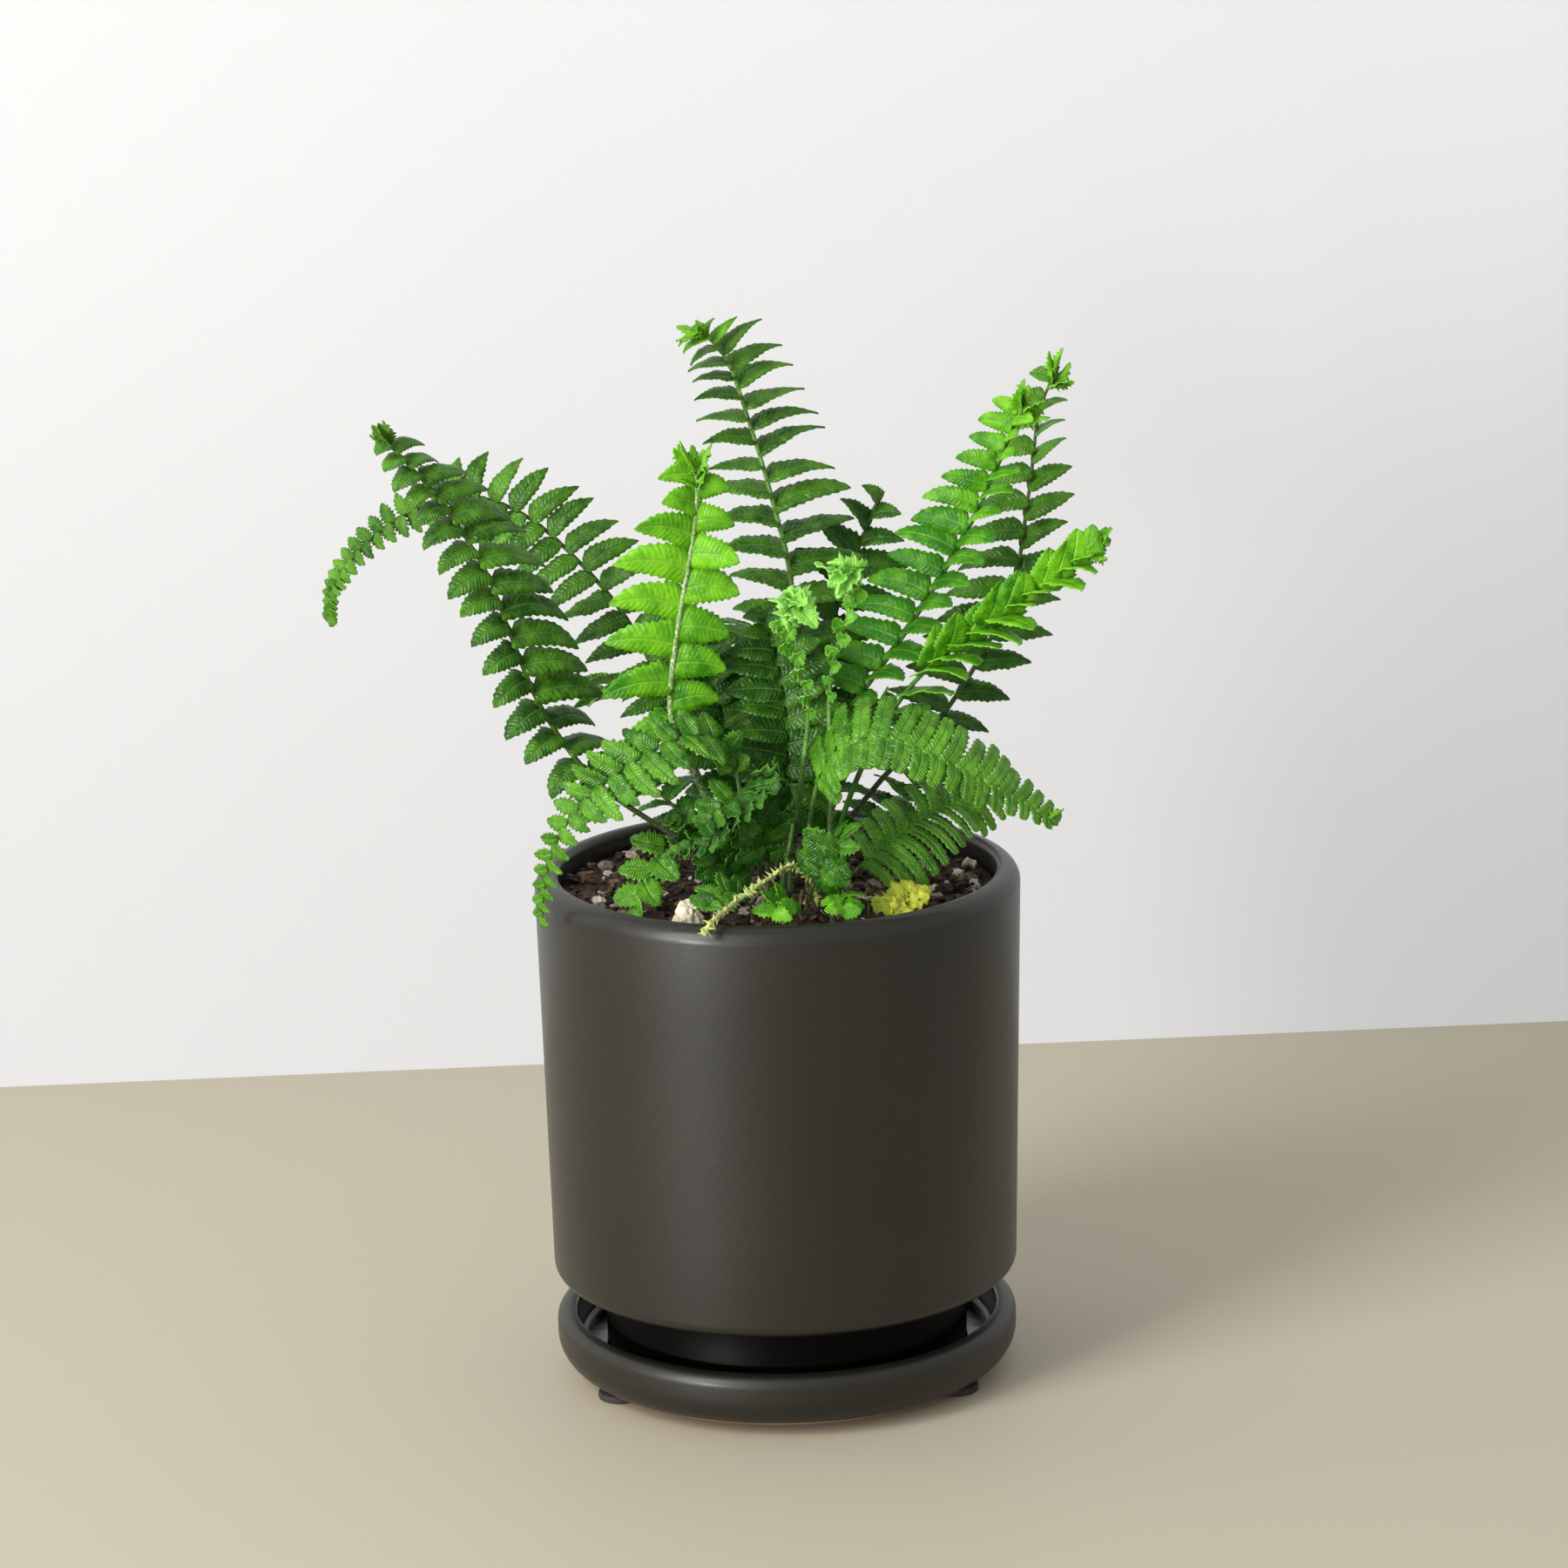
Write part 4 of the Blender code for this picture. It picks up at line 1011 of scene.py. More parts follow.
# What the fronds deep in the clump, those behind it and the sprigs by the mix share
INNER = {"pitch": (10, 15), "broad": 1.3, "leaf": LeafKind.YOUNG, "shown": (0.72, 0.72)}
BEHIND = {"leafy_from": 0.36, "width": 7.4, "stem": 0.8}
LOW_BEHIND = {"leafy_from": 0.4, "length": 13.5, "width": 6.6, "stem": 0.7, "fine": 8}
SPRIG = {
    "leafy_from": 0.66, "profile": ((0.0, 0.8), (0.5, 1.0), (1.0, 0.8)), "lift": (8, 8),
    "stem": 0.5, "leaf": LeafKind.YOUNG, "fine": 4, "ripple": 0.05, "hairs": 12,
}

FRONDS = (
    FrondPlan(
        "frond_bright_front", LeafTint.BRIGHT, (-8, -8),
        ((-13, -10, 136), (-21, -13, 155), (-24, -14, 166), (-22, -17, 184), (-18, -18, 205),
         (-16.5, -19, 216), (-17, -20, 225)),
        ((0.05, -1, 0.1), (0.1, -1, 0.1)), 8, leafy_from=0.42, length=18.4, width=8.8,
        profile=((0.0, 0.85), (0.3, 0.92), (0.58, 1.0), (0.83, 0.7), (1.0, 0.45)), right=0.72,
        sweep=(-8, 14), lift=(4, 14), pitch=(8, -4), twist=6, curl=0.1, stem=1.05,
        leaf=LeafKind.EARED, broad=1.08, arch=0.12, cover=0.2, dip=0.1, cup=-0.1, ripple=0.01,
        tone=(0.4, 0.78), stem_finish=STEM_PALE, hairs=260, crown=14, crown_size=8.5,
    ),
    FrondPlan(
        "frond_tall_centre", LeafTint.DARK, (3, 3),
        ((5, 7, 150), (5, 12, 187), (1, 15, 208), (-4.6, 14, 229), (-9.5, 10, 244), (-17, 5, 253)),
        ((0, -1, 0.15), (0.15, -0.75, 0.5)), 18, leafy_from=0.27, length=19.5, width=7.8,
        profile=((0.0, 0.85), (0.2, 1.0), (0.5, 0.95), (0.85, 0.74), (1.0, 0.5)), left=0.82,
        sweep=(-2, 6), skew=(8, 18), lift=(3, 3), pitch=(24, 74), twist=12, curl=0.1, hook=0.03,
        stem=0.95, leaf=LeafKind.EARED, tip_leaf=LeafKind.SLIVER, fine=17, broad=0.96, cover=0.2,
        lean=(8, 0), crowd=1.25, ease=0.13, young_from=0.88, cup=-0.05, tone=(0.2, 0.6),
        hairs=120, crown=6, crown_size=7.5,
    ),
    FrondPlan(
        "frond_left_tall", LeafTint.DARK, (-11, -3),
        ((-25, -3, 133), (-42, -3, 146), (-54, -5, 164), (-61, -9, 184), (-66, -11, 199),
         (-76, -12, 216), (-89, -14, 232)),
        ((0.35, -0.9, 0.2), (0.4, -0.85, 0.35)), 16, leafy_from=0.3, length=18.5, width=7.4,
        profile=((0.0, 0.95), (0.2, 1.0), (0.7, 0.9), (0.88, 0.65), (1.0, 0.4)), left=0.62,
        sweep=(-16, -10), skew=(15, 20), lift=(10, 10), pitch=(24, 34), twist=16, curl=0.2,
        leaf=LeafKind.EARED, fine=16, broad=1.04, arch=0.11, swell=0.07, crowd=1.1, cup=-0.14,
        tone=(0.27, 0.6), stem_finish=STEM_DARK, hairs=70,
        crown=5, crown_size=6.5, crown_tint=LeafTint.DARK,
    ),
    FrondPlan(
        "frond_right_middle", LeafTint.BRIGHT, (8, -1),
        ((11, -1, 140), (17, 0, 159), (32, 3, 180), (45, 6, 200), (54, 8, 218), (60, 5, 234)),
        ((-0.8, -0.6, 0.1), (-0.6, -0.75, 0.2)), 13, leafy_from=0.36,
        profile=((0.0, 0.8), (0.2, 1.0), (0.7, 0.8), (1.0, 0.4)), right=0.85,
        sweep=(-6, 6), skew=(-20, -20), lift=(18, 18), pitch=(18, 8), twist=6, curl=0.06,
        # The low tone of its first leaflets is painted shade, as they lie in the clump.
        leaf=LeafKind.EARED, fine=15, broad=1.04, cover=1.2, cup=-0.08, tone=(-0.5, 0.66),
        stem_finish=STEM_LEAFY, crown=12, crown_size=8.5,
    ),
    FrondPlan(
        "frond_right_low", LeafTint.BRIGHT, (12, -7),
        ((17, -7, 141), (26, -8, 160), (37, -10, 174), (58, -12, 189), (71, -12, 198),
         (79, -13, 204)),
        ((-0.35, -0.7, 0.6), (-0.35, -0.75, 0.5)), 13, leafy_from=0.36, length=18.0, width=6.6,
        profile=((0.0, 0.8), (0.2, 1.0), (0.7, 0.85), (1.0, 0.5)), left=0.75,
        sweep=(48, 34), skew=(10, -8), lift=(2, 12), pitch=(44, 12), twist=8, curl=0.08,
        leaf=LeafKind.EARED, fine=15, broad=1.6, cover=1.2, lean=(0, 24), tilt=(0, -34),
        cup=-0.06, tone=(0.08, 0.75), stem_finish=STEM_LEAFY, crown=10, crown_size=9.0,
    ),
    FrondPlan(
        "frond_right_front", LeafTint.MID, (7, -14),
        ((8, -18, 141), (13, -26, 156), (24, -33, 162), (37, -37, 158), (51, -37, 150),
         (65, -35, 141)),
        ((0.0, -0.62, 0.78), (0.25, -0.6, 0.75)), 14, length=14.5, width=4.9,
        profile=((0.0, 1.0), (0.3, 1.0), (0.65, 0.75), (1.0, 0.3)), right=0.66,
        sweep=(-8, 18), skew=(-12, 4), lift=(6, 6), pitch=(10, 8), twist=8, curl=0.16, stem=0.75,
        leaf=LeafKind.STRAP, fine=17, broad=1.3, swell=0.02, loose=0.5, cup=-0.03, ripple=0.04,
        tone=(0.5, 0.95), crown=3, crown_size=4.5,
    ),
    FrondPlan(
        "frond_right_back", LeafTint.DARK, (11, 8),
        ((24, 15, 139), (42, 24, 156), (57, 30, 181), (62, 33, 205), (65, 36, 225),
         (70, 34, 237)),
        ((-0.1, -0.97, 0.2), (0.0, -0.95, 0.25)), 13, leafy_from=0.38, length=16.5,
        profile=((0.0, 0.85), (0.2, 1.0), (0.6, 0.85), (1.0, 0.35)), right=0.9,
        sweep=(2, 10), skew=(-18, -24), lift=(6, 8), pitch=(24, 34), twist=14, curl=0.1,
        broad=1.0, lean=(10, -4), cup=-0.06, tone=(0.2, 0.95), stem_finish=STEM_DARK,
        crown=7, crown_size=7.5,
    ),
    FrondPlan(
        "frond_left_front", LeafTint.MID, (-7, -13),
        ((-8, -14, 143), (-11, -17, 157), (-21, -23, 161), (-33, -27, 156), (-44, -29, 148),
         (-51, -30, 138), (-54, -28, 127), (-55, -27, 117)),
        ((-0.05, -0.62, 0.78), (-0.55, -0.8, 0.2)), 14, leafy_from=0.36, length=15.0, width=5.6,
        profile=((0.0, 0.85), (0.15, 1.0), (0.45, 0.9), (0.62, 0.5), (1.0, 0.22)), left=0.9,
        sweep=(0, 22), skew=(-28, -4), lift=(10, 6), pitch=(12, 5), twist=8, stem=0.75,
        leaf=LeafKind.YOUNG, fine=18, broad=1.2, swell=0.05, shown=(0.74, 0.95), loose=0.4,
        foot_share=0.45, cup=-0.07, ripple=0.05, tone=(0.35, 0.85),
    ),
    FrondPlan(
        "frond_right_hanging", LeafTint.MID, (14, -22),
        ((16, -22, 126), (26, -18, 133), (37, -13, 139), (50, -8, 143)),
        ((-0.2, -0.85, 0.5), (-0.1, -0.8, 0.55)), 9, leafy_from=0.42, length=14.0, width=4.8,
        profile=((0.0, 0.8), (0.2, 1.0), (1.0, 0.6)), left=0.85,
        sweep=(8, 16), lift=(0, 0), pitch=(6, 6), twist=5, curl=0.08, droop=0.1, stem=0.75,
        leaf=LeafKind.STRAP, fine=12, broad=1.0, loose=0.6, cup=-0.04, ripple=0.04,
        tone=(0.45, 0.65),
    ),
    FrondPlan(
        "frond_left_arching", LeafTint.DARK, (-10, 6),
        ((-21, 12, 150), (-33, 18, 178), (-48, 24, 196), (-61, 27, 206), (-74, 28, 209),
         (-87, 26, 205), (-98, 23, 197), (-104, 21, 188), (-105, 19, 179)),
        ((0.15, -0.9, 0.4), (-0.6, -0.7, 0.3)), 17, leafy_from=0.3, length=15.0, width=5.6,
        profile=((0.0, 0.8), (0.15, 1.0), (0.5, 0.88), (0.66, 0.42), (1.0, 0.2)),
        sweep=(-10, 10), skew=(14, 2), lift=(8, 10), pitch=(14, 12), twist=12, curl=0.1, stem=0.8,
        tip_leaf=LeafKind.YOUNG, fine=30, broad=1.5, swell=0.07, loose=1.6, crowd=1.5,
        young_from=0.7, cup=-0.08, ripple=0.05, tone=(0.25, 0.75), stem_finish=STEM_DARK,
        crown_tint=LeafTint.MID,
    ),
    FrondPlan(
        "frond_front_small", LeafTint.MID, (-17, -11),
        ((-19, -14, 131), (-24, -19, 136), (-29, -26, 131), (-34, -32, 122)),
        ((-0.1, -0.85, 0.5), (-0.2, -0.9, 0.35)), 4, leafy_from=0.52, length=9.0, width=7.0,
        profile=((0.0, 0.9), (0.4, 1.0), (1.0, 0.7)),
        sweep=(15, 35), lift=(3, 3), pitch=(4, 4), twist=0, curl=0.06, stem=0.6,
        leaf=LeafKind.YOUNG, broad=1.2, tone=(0.35, 0.75),
    ),
    FrondPlan(
        "frond_edge_on", LeafTint.BLUE, (1, -17),
        ((4, -19, 141), (1, -23, 151), (-6, -28, 146), (-16, -31, 138), (-26, -29, 134)),
        ((-0.5, -0.35, 0.78), (-0.3, -0.3, 0.9)), 7, leafy_from=0.42, length=11.5, width=7.0,
        sweep=(10, 30), lift=(3, 3), pitch=(8, 8), twist=5, curl=0.1, stem=0.7,
        fine=13, broad=1.3, shown=(0.6, 0.6), lean=(22, 22), ripple=0.1, tone=(0.1, 0.4),
    ),
    FrondPlan(
        "frond_behind_centre", LeafTint.DARK, (6, 10),
        ((9, 13, 146), (13, 17, 172), (19, 21, 191), (27, 25, 209)),
        ((0.1, -0.95, 0.3), (0.2, -0.9, 0.3)), 8, leafy_from=0.38, length=16.5, width=7.0,
        sweep=(8, 30), lift=(6, 6), pitch=(16, 24), curl=0.1, stem=0.75, broad=1.2,
        tone=(0.2, 0.45), stem_finish=STEM_DARK,
    ),
    CROZIER,
    replace(
        CROZIER, name="crozier_right", foot=(12, -13),
        route=((13, -15, 148), (13, -17, 170), (16, -19, 184), (20, -21, 194), (19, -24, 199),
               (16, -25, 198)),
        face=((-0.1, -1, 0.1), (-0.3, -0.8, -0.4)), stem=0.85, tone=(-0.15, 0.3),
    ),
    # The fronds deep in the clump have low tones, painted shade for the middle of the clump.
    FrondPlan(
        "frond_inner_left", LeafTint.DARK, (-4, -2),
        ((-7, 1, 140), (-12, 3, 158), (-18, 6, 182)),
        ((0.1, -0.95, 0.3), (0.1, -0.9, 0.4)), 7, leafy_from=0.35, length=15.0, width=7.4,
        pitch=(15, 20), broad=1.3, stem=0.7, fine=9, tone=(0.0, 0.15),
    ),
    FrondPlan(
        "frond_inner_right", LeafTint.MID, (8, -5.2),
        ((13, -6, 138), (19, -6, 152), (27, -4, 168)),
        ((-0.1, -0.95, 0.3), (0.0, -0.9, 0.4)), 6, leafy_from=0.35, length=14.0,
        pitch=(10, 15), broad=1.3, stem=0.7, fine=8, tone=(0.0, 0.25),
    ),
    FrondPlan(
        "frond_inner_centre", LeafTint.DARK, (1, -4),
        ((2, -5, 138), (3, -6, 156), (1, -7, 174), (-3, -8, 188)),
        ((0.0, -0.97, 0.2), (0.1, -0.9, 0.4)), 8, leafy_from=0.36, length=15.0, width=7.4,
        pitch=(15, 24), broad=1.3, stem=0.75, fine=10, tone=(0.0, 0.15),
    ),
    FrondPlan(
        "frond_inner_front", LeafTint.MID, (-2, -12),
        ((-3, -15, 132), (-6, -20, 142), (-11, -26, 146), (-17, -33, 141)),
        ((0.1, -0.7, 0.7), (0.0, -0.6, 0.8)), 6, leafy_from=0.42, length=13.0, width=6.6,
        stem=0.7, fine=8, tone=(0.0, 0.25), **INNER,
    ),
    FrondPlan(
        "frond_inner_side", LeafTint.MID, (-10, -19),
        ((-13, -21, 131), (-18, -23, 138), (-26, -24, 141)),
        ((0.1, -0.75, 0.65), (0.0, -0.7, 0.7)), 5, leafy_from=0.42, length=12.0, width=6.6,
        stem=0.6, fine=7, tone=(0.0, 0.25), **INNER,
    ),
    FrondPlan(
        "frond_inner_low", LeafTint.MID, (7, -24),
        ((9, -26, 127), (12, -29, 134), (14, -34, 138), (15, -41, 136)),
        ((0.1, -0.8, 0.6), (0.0, -0.7, 0.7)), 5, leafy_from=0.5, length=12.0, width=6.2,
        stem=0.6, fine=7, tone=(0.05, 0.35), **INNER,
    ),
    FrondPlan(
        "frond_back_centre", LeafTint.DARK, (0, 15),
        ((0, 27, 146), (-2, 41, 164), (-4, 55, 169), (-6, 66, 163)),
        ((0, -0.6, 0.8), (0, 0.2, 1)), 6, fine=10, **BEHIND,
    ),
    FrondPlan(
        "frond_back_left", LeafTint.DARK, (-7, 12),
        ((-14, 23, 144), (-26, 37, 158), (-38, 49, 158), (-46, 58, 150)),
        ((0.3, -0.4, 0.85), (-0.2, 0.2, 1)), 6, length=16.0, fine=9, **BEHIND,
    ),
    FrondPlan(
        "frond_back_right", LeafTint.DARK, (8, 15),
        ((15, 27, 138), (24, 40, 148), (34, 51, 146), (41, 60, 137)),
        ((-0.3, -0.4, 0.85), (0.2, 0.2, 1)), 6, length=16.0, fine=9, **BEHIND,
    ),
    FrondPlan(
        "frond_low_left", LeafTint.MID, (-14, 9),
        ((-24, 21, 133), (-35, 31, 139), (-46, 39, 135)),
        ((0.2, -0.3, 0.9), (-0.3, 0.1, 1)), 6, **LOW_BEHIND,
    ),
    FrondPlan(
        "frond_low_right", LeafTint.MID, (16, 11),
        ((27, 21, 131), (38, 31, 136), (48, 39, 131)),
        ((-0.2, -0.3, 0.9), (0.3, 0.1, 1)), 6, **LOW_BEHIND,
    ),
    FrondPlan(
        "sprig_left", LeafTint.MID, (-6, -30),
        ((-8, -32, 124), (-12, -36, 127), (-16, -42, 125)),
        ((0.1, -0.7, 0.7), (0, -0.5, 0.85)), 3, length=7.0, width=5.6, tone=(0.15, 0.5), **SPRIG,
    ),
    FrondPlan(
        "sprig_front", LeafTint.BRIGHT, (3, -33),
        ((2, -36, 124), (0, -41, 126), (-1, -46, 124)),
        ((0.1, -0.6, 0.8), (0, -0.5, 0.85)), 3, length=6.5, width=5.2, tone=(0.05, 0.45), **SPRIG,
    ),
    FrondPlan(
        "sprig_right", LeafTint.BRIGHT, (13, -31),
        ((14, -35, 124), (15, -41, 126), (15, -46, 124)),
        ((0, -0.6, 0.8), (0, -0.5, 0.85)), 3, length=6.0, width=5.0, tone=(0.05, 0.45), **SPRIG,
    ),
    FrondPlan(
        "frond_yellow", LeafTint.YELLOW, (21, -26),
        ((24, -29, 123), (28, -33, 124), (31, -37, 123)),
        ((0.1, -0.5, 0.85), (0.1, -0.5, 0.85)), 2, leafy_from=0.7, length=7.5, width=6.5,
        profile=((0.0, 0.8), (0.5, 1.0), (1.0, 0.8)), lift=(6, 6), stem=0.5,
        leaf=LeafKind.YOUNG, broad=1.5, fine=3, ripple=0.12, tone=(0.3, 0.8), hairs=6,
    ),
)


@dataclass
class Leaflet:
    """Where one leaflet stands and how it is bent, in millimetres and degrees."""

    point: Vector
    along: Vector
    across: Vector
    upper: Vector
    length: float
    width: float
    pitch: float
    twist: float
    curl: float
    hook: float
    droop: float
    side: int
    cup: float
    ripple: float
    phase: float
    tone: float
    arch: float = 0.0
    swell: float = 0.0

    def pitched(self) -> tuple[np.ndarray, np.ndarray, np.ndarray]:
        """Give the pitched directions of its front edge and its top, and its tip's bend.

        Returns:
            The two directions, and the bend in shares of its length.
        """
        across, upper = np.array(self.across), np.array(self.upper)
        start = math.radians(self.pitch)
        front = across * math.cos(start) - upper * math.sin(start)
        top = upper * math.cos(start) + across * math.sin(start)
        return front, top, front * self.hook - top * self.curl - np.array((0, 0, self.droop))

    def tip(self) -> np.ndarray:
        """Give the place of its tip, in millimetres."""
        return np.array(self.point) + (np.array(self.along) + self.pitched()[2]) * self.length

    def bend(self, flat: np.ndarray) -> np.ndarray:
        """Bend a flat pattern into this leaflet's place.

        Args:
            flat: The pattern's places: share of length, share of width, share of width up.

        Returns:
            The places in the frame's metres.
        """
        u, c, w = flat.T
        along, across, upper = (np.array(v) for v in (self.along, self.across, self.upper))
        turn = np.radians(self.pitch + self.twist * u)[:, None]
        edge = across * np.cos(turn) - upper * np.sin(turn)
        normal = upper * np.cos(turn) + across * np.sin(turn)
        front, top, bend = self.pitched()
        bow = front * self.arch + top * self.swell
        path = along * u[:, None] + bend * (u * u)[:, None] + bow * (4 * u * (1 - u))[:, None]
        centre = np.array(self.point) + path * self.length
        waves = np.sin(math.tau * (2.6 * u + self.phase) + np.sign(c))
        rise = w + self.cup * 4 * c * c
        rise = rise + self.ripple * waves * 2 * np.abs(c)
        shape = centre + edge * (c * self.width)[:, None] + normal * (rise * self.width)[:, None]
        return to_frame(shape)


def smooth_route(foot: Pair, points: Sequence[Point]) -> tuple[list[Vector], float]:
    """Sample a stem that rises straight and then curves through a route's points.

    Args:
        foot: Where it stands in the mix.
        points: The points above its straight part.

    Returns:
        Even samples, and the stem's length.
    """
    knots = [Vector((*foot, STRAIGHT_TOP)), *(Vector(p) for p in points)]
    below = knots[0] - Vector((0, 0, (knots[1] - knots[0]).length))
    knots = [below, *knots, knots[-1] * 2 - knots[-2]]
    fine = [Vector((*foot, STEM_FOOT))]
    steps = 24
    for i in range(1, len(knots) - 2):
        p0, p1, p2, p3 = knots[i - 1:i + 3]
        for j in range(steps):
            t = j / steps
            fine.append(
                0.5 * (2 * p1 + (p2 - p0) * t + (2 * p0 - 5 * p1 + 4 * p2 - p3) * t ** 2
                       + (3 * p1 - p0 - 3 * p2 + p3) * t ** 3)
            )
    fine.append(knots[-2])
    travelled = [0.0]
    for a, b in zip(fine, fine[1:]):
        travelled.append(travelled[-1] + (b - a).length)
    samples = []
    index = 0
    for k in range(ROUTE_SAMPLES + 1):
        target = travelled[-1] * k / ROUTE_SAMPLES
        while index < len(fine) - 2 and travelled[index + 1] < target:
            index += 1
        share = (target - travelled[index]) / max(1e-9, travelled[index + 1] - travelled[index])
        samples.append(fine[index].lerp(fine[index + 1], min(1.0, share)))
    return samples, travelled[-1]


@dataclass
class Frond:
    """A frond grown from its plan, with its leaflets where the solid's leaflets stand.

    Leaflets keep a margin from the solids' box, and their feet are sunk into the stem by
    some millimetres. Past full_from of the leafy part they have their full length. Taper is
    the share of its radius that a stem loses by the tip, and slim its share of its solid's.
    """

    plan: FrondPlan
    solid: Piece
    margin: float = 0.45 * MM
    tries: int = 24
    sunk: float = 0.4
    full_from: float = 0.35
    taper: float = 0.55
    slim: float = 0.92

    def __post_init__(self) -> None:
        """Lay out the stem and find the places that the solid's leaflets took."""
        plan = self.plan
        self.samples, self.reach = smooth_route(plan.foot, plan.route)
        self.places = self.ring_places()
        self.frames = self.ring_frames()
        self.first_leafy = len(self.places) - 2 * plan.pairs - 1
        draw = random.Random(plan.name)
        self.jitters = [
            (draw.uniform(-4, 4), draw.uniform(-4, 4), draw.uniform(-6, 6), draw.uniform(0.93, 1.05))
            for _ in range(2 * plan.pairs)
        ]
        self.draw = random.Random("fine " + plan.name)
        self.shifts = self.find_shifts()

    def ring_places(self) -> list[float]:
        """Give the shares of the stem's length at which the solid has a ring.

        Returns:
            The shares, from the foot up.
        """
        start = self.plan.leafy_from
        straight = (STRAIGHT_TOP - STEM_FOOT) / self.reach
        plain = max(1, round(self.reach * (start - straight) / RAIL_STEP))
        places = [0.0] + [straight + (start - straight) * i / plain for i in range(plain)]
        segments = 2 * self.plan.pairs
        for i in range(segments + 1):
            t = i / segments
            places.append(start + (LEAFY_END - start) * t * (1.22 - 0.22 * t))
        return places

    def direction(self, place: float) -> tuple[Vector, Vector]:
        """Give the point of the route at a place and its forward direction.

        Args:
            place: A share of the stem's length.

        Returns:
            The point and the direction.
        """
        position = min(0.999, max(0.0, place)) * ROUTE_SAMPLES
        index = int(position)
        point = self.samples[index].lerp(self.samples[index + 1], position - index)
        before = self.samples[max(0, index - 2)]
        after = self.samples[min(ROUTE_SAMPLES, index + 3)]
        return point, (after - before).normalized()

    def ring_frames(self) -> list[tuple[Vector, Vector, Vector, Vector]]:
        """Give each ring's point, forward, upper-face and right-hand directions.

        Returns:
            Four vectors for each ring.
        """
        start = self.plan.leafy_from
        frames = []
        face = Vector(self.plan.face[1])
        for place in reversed(self.places):
            point, forward = self.direction(place)
            if place >= start:
                leafy = (place - start) / (1 - start)
                face = Vector(self.plan.face[0]).lerp(Vector(self.plan.face[1]), leafy)
            face = (face - forward * face.dot(forward)).normalized()
            frames.append((point, forward, face, forward.cross(face)))
        return frames[::-1]

    def leaflet(self, position: float, side: int, shift: Sequence[float],
                jitter: Sequence[float], lean: float = 0.0) -> Leaflet:
        """Lay out one leaflet.

        Args:
            position: Its place in segments of the leafy part, half a segment in for a solid's.
            side: 1 for the right-hand side and -1 for the left.
            shift: Degrees more of lift and pitch, and its share of full size.
            jitter: Its small differences.
            lean: Degrees more of sweep.

        Returns:
            The leaflet.
        """
        plan = self.plan
        index = min(2 * plan.pairs - 1, int(position))
        t = min(1.0, position / (2 * plan.pairs))
        ring = self.first_leafy + index
        point = self.frames[ring][0].lerp(self.frames[ring + 1][0], position - index)
        _, forward, face, right = self.frames[ring]
        sweep = math.radians(blend(plan.sweep, t) - side * blend(plan.skew, t) + jitter[0] + lean)
        lift = math.radians(blend(plan.lift, t) + jitter[1] + shift[0])
        share = plan.right if side > 0 else plan.left
        length = plan.length * share * read_line(plan.profile, t) * jitter[3] * shift[2]
        along = (right * side) * math.cos(sweep) + forward * math.sin(sweep)
        along = along * math.cos(lift) + face * math.sin(lift)
        across = (forward - along * forward.dot(along)).normalized()
        fine = plan.pairs / plan.fine if plan.fine else 1.0
        width = plan.width * min(1.0, 0.35 + 0.65 * length / plan.length / share)
        return Leaflet(
            point=point, along=along, across=across, upper=along.cross(across) * side,
            length=length, width=width * (0.4 + 0.6 * fine),
            pitch=blend(plan.pitch, t) + jitter[2] + shift[1], twist=plan.twist,
            curl=plan.curl, hook=plan.hook, droop=plan.droop, side=side,
            cup=plan.cup + self.draw.uniform(-0.03, 0.03),
            ripple=plan.ripple * self.draw.uniform(0.6, 1.5), phase=self.draw.random(),
            tone=blend(plan.tone, t) + self.draw.uniform(-0.22, 0.22),
        )

    def find_shifts(self) -> dict[int, Sequence[float]]:
        """Find which shift each of the solid's leaflets took, by where its tip is.

        Returns:
            The shift of each leaflet that the solid has.
        """
        found: dict[int, Sequence[float]] = {}
        rows = read_places(self.solid) / MM - POT_AXIS
        tree = KDTree(len(rows))
        for number, row in enumerate(rows):
            tree.insert(row, number)
        tree.balance()
        for index in range(2 * self.plan.pairs):
            side = 1 if index % 2 == 0 else -1
            for shift in SHIFTS:
                leaf = self.leaflet(index + 0.5, side, shift, self.jitters[index])
                if tree.find(leaf.tip())[2] < SAME_PLACE:
                    found[index] = shift
                    break
        return found

    def leaflets(self) -> list[Leaflet]:
        """Give every leaflet to show.

        Returns:
            The leaflets, from the foot to the tip.
        """
        plan = self.plan
        count = plan.fine or plan.pairs
        made = []
        for number in range(2 * count):
            hand = number % 2
            share = (number + 0.5) / (2 * count)
            position = (1.0 - (1.0 - share) ** plan.crowd) * 2 * plan.pairs
            near = [i for i in self.shifts if i % 2 == hand and abs(i + 0.5 - position) <= BESIDE]
            if not near:
                continue
            index = min(near, key=lambda i: abs(i + 0.5 - position))
            leaf = self.leaflet(position, 1 - 2 * hand, self.shifts[index], self.jitters[index],
                                plan.lean[hand])
            leaf.width *= plan.broad * self.draw.uniform(0.92, 1.1)
            leaf.length *= plan.shown[hand]
            leaf.length *= blend((plan.foot_share, 1.0), min(1.0, share / self.full_from))
            leaf.hook -= plan.dip
            leaf.pitch += plan.tilt[hand]
            leaf.curl += self.draw.uniform(-0.04, 0.09) * plan.loose - plan.ease
            leaf.hook += self.draw.uniform(-0.06, 0.03) * plan.loose
            leaf.twist += self.draw.uniform(-16, 16) * plan.loose
            leaf.arch = plan.arch + self.draw.uniform(-0.03, 0.03) * plan.loose
            leaf.swell = plan.swell + self.draw.uniform(-0.02, 0.05) * plan.loose
            ring = self.first_leafy + min(2 * plan.pairs - 1, int(position))
            leaf.point = leaf.point + self.frames[ring][2] * plan.cover - leaf.along * self.sunk
            made.append(self.keep_in(leaf))
        return made

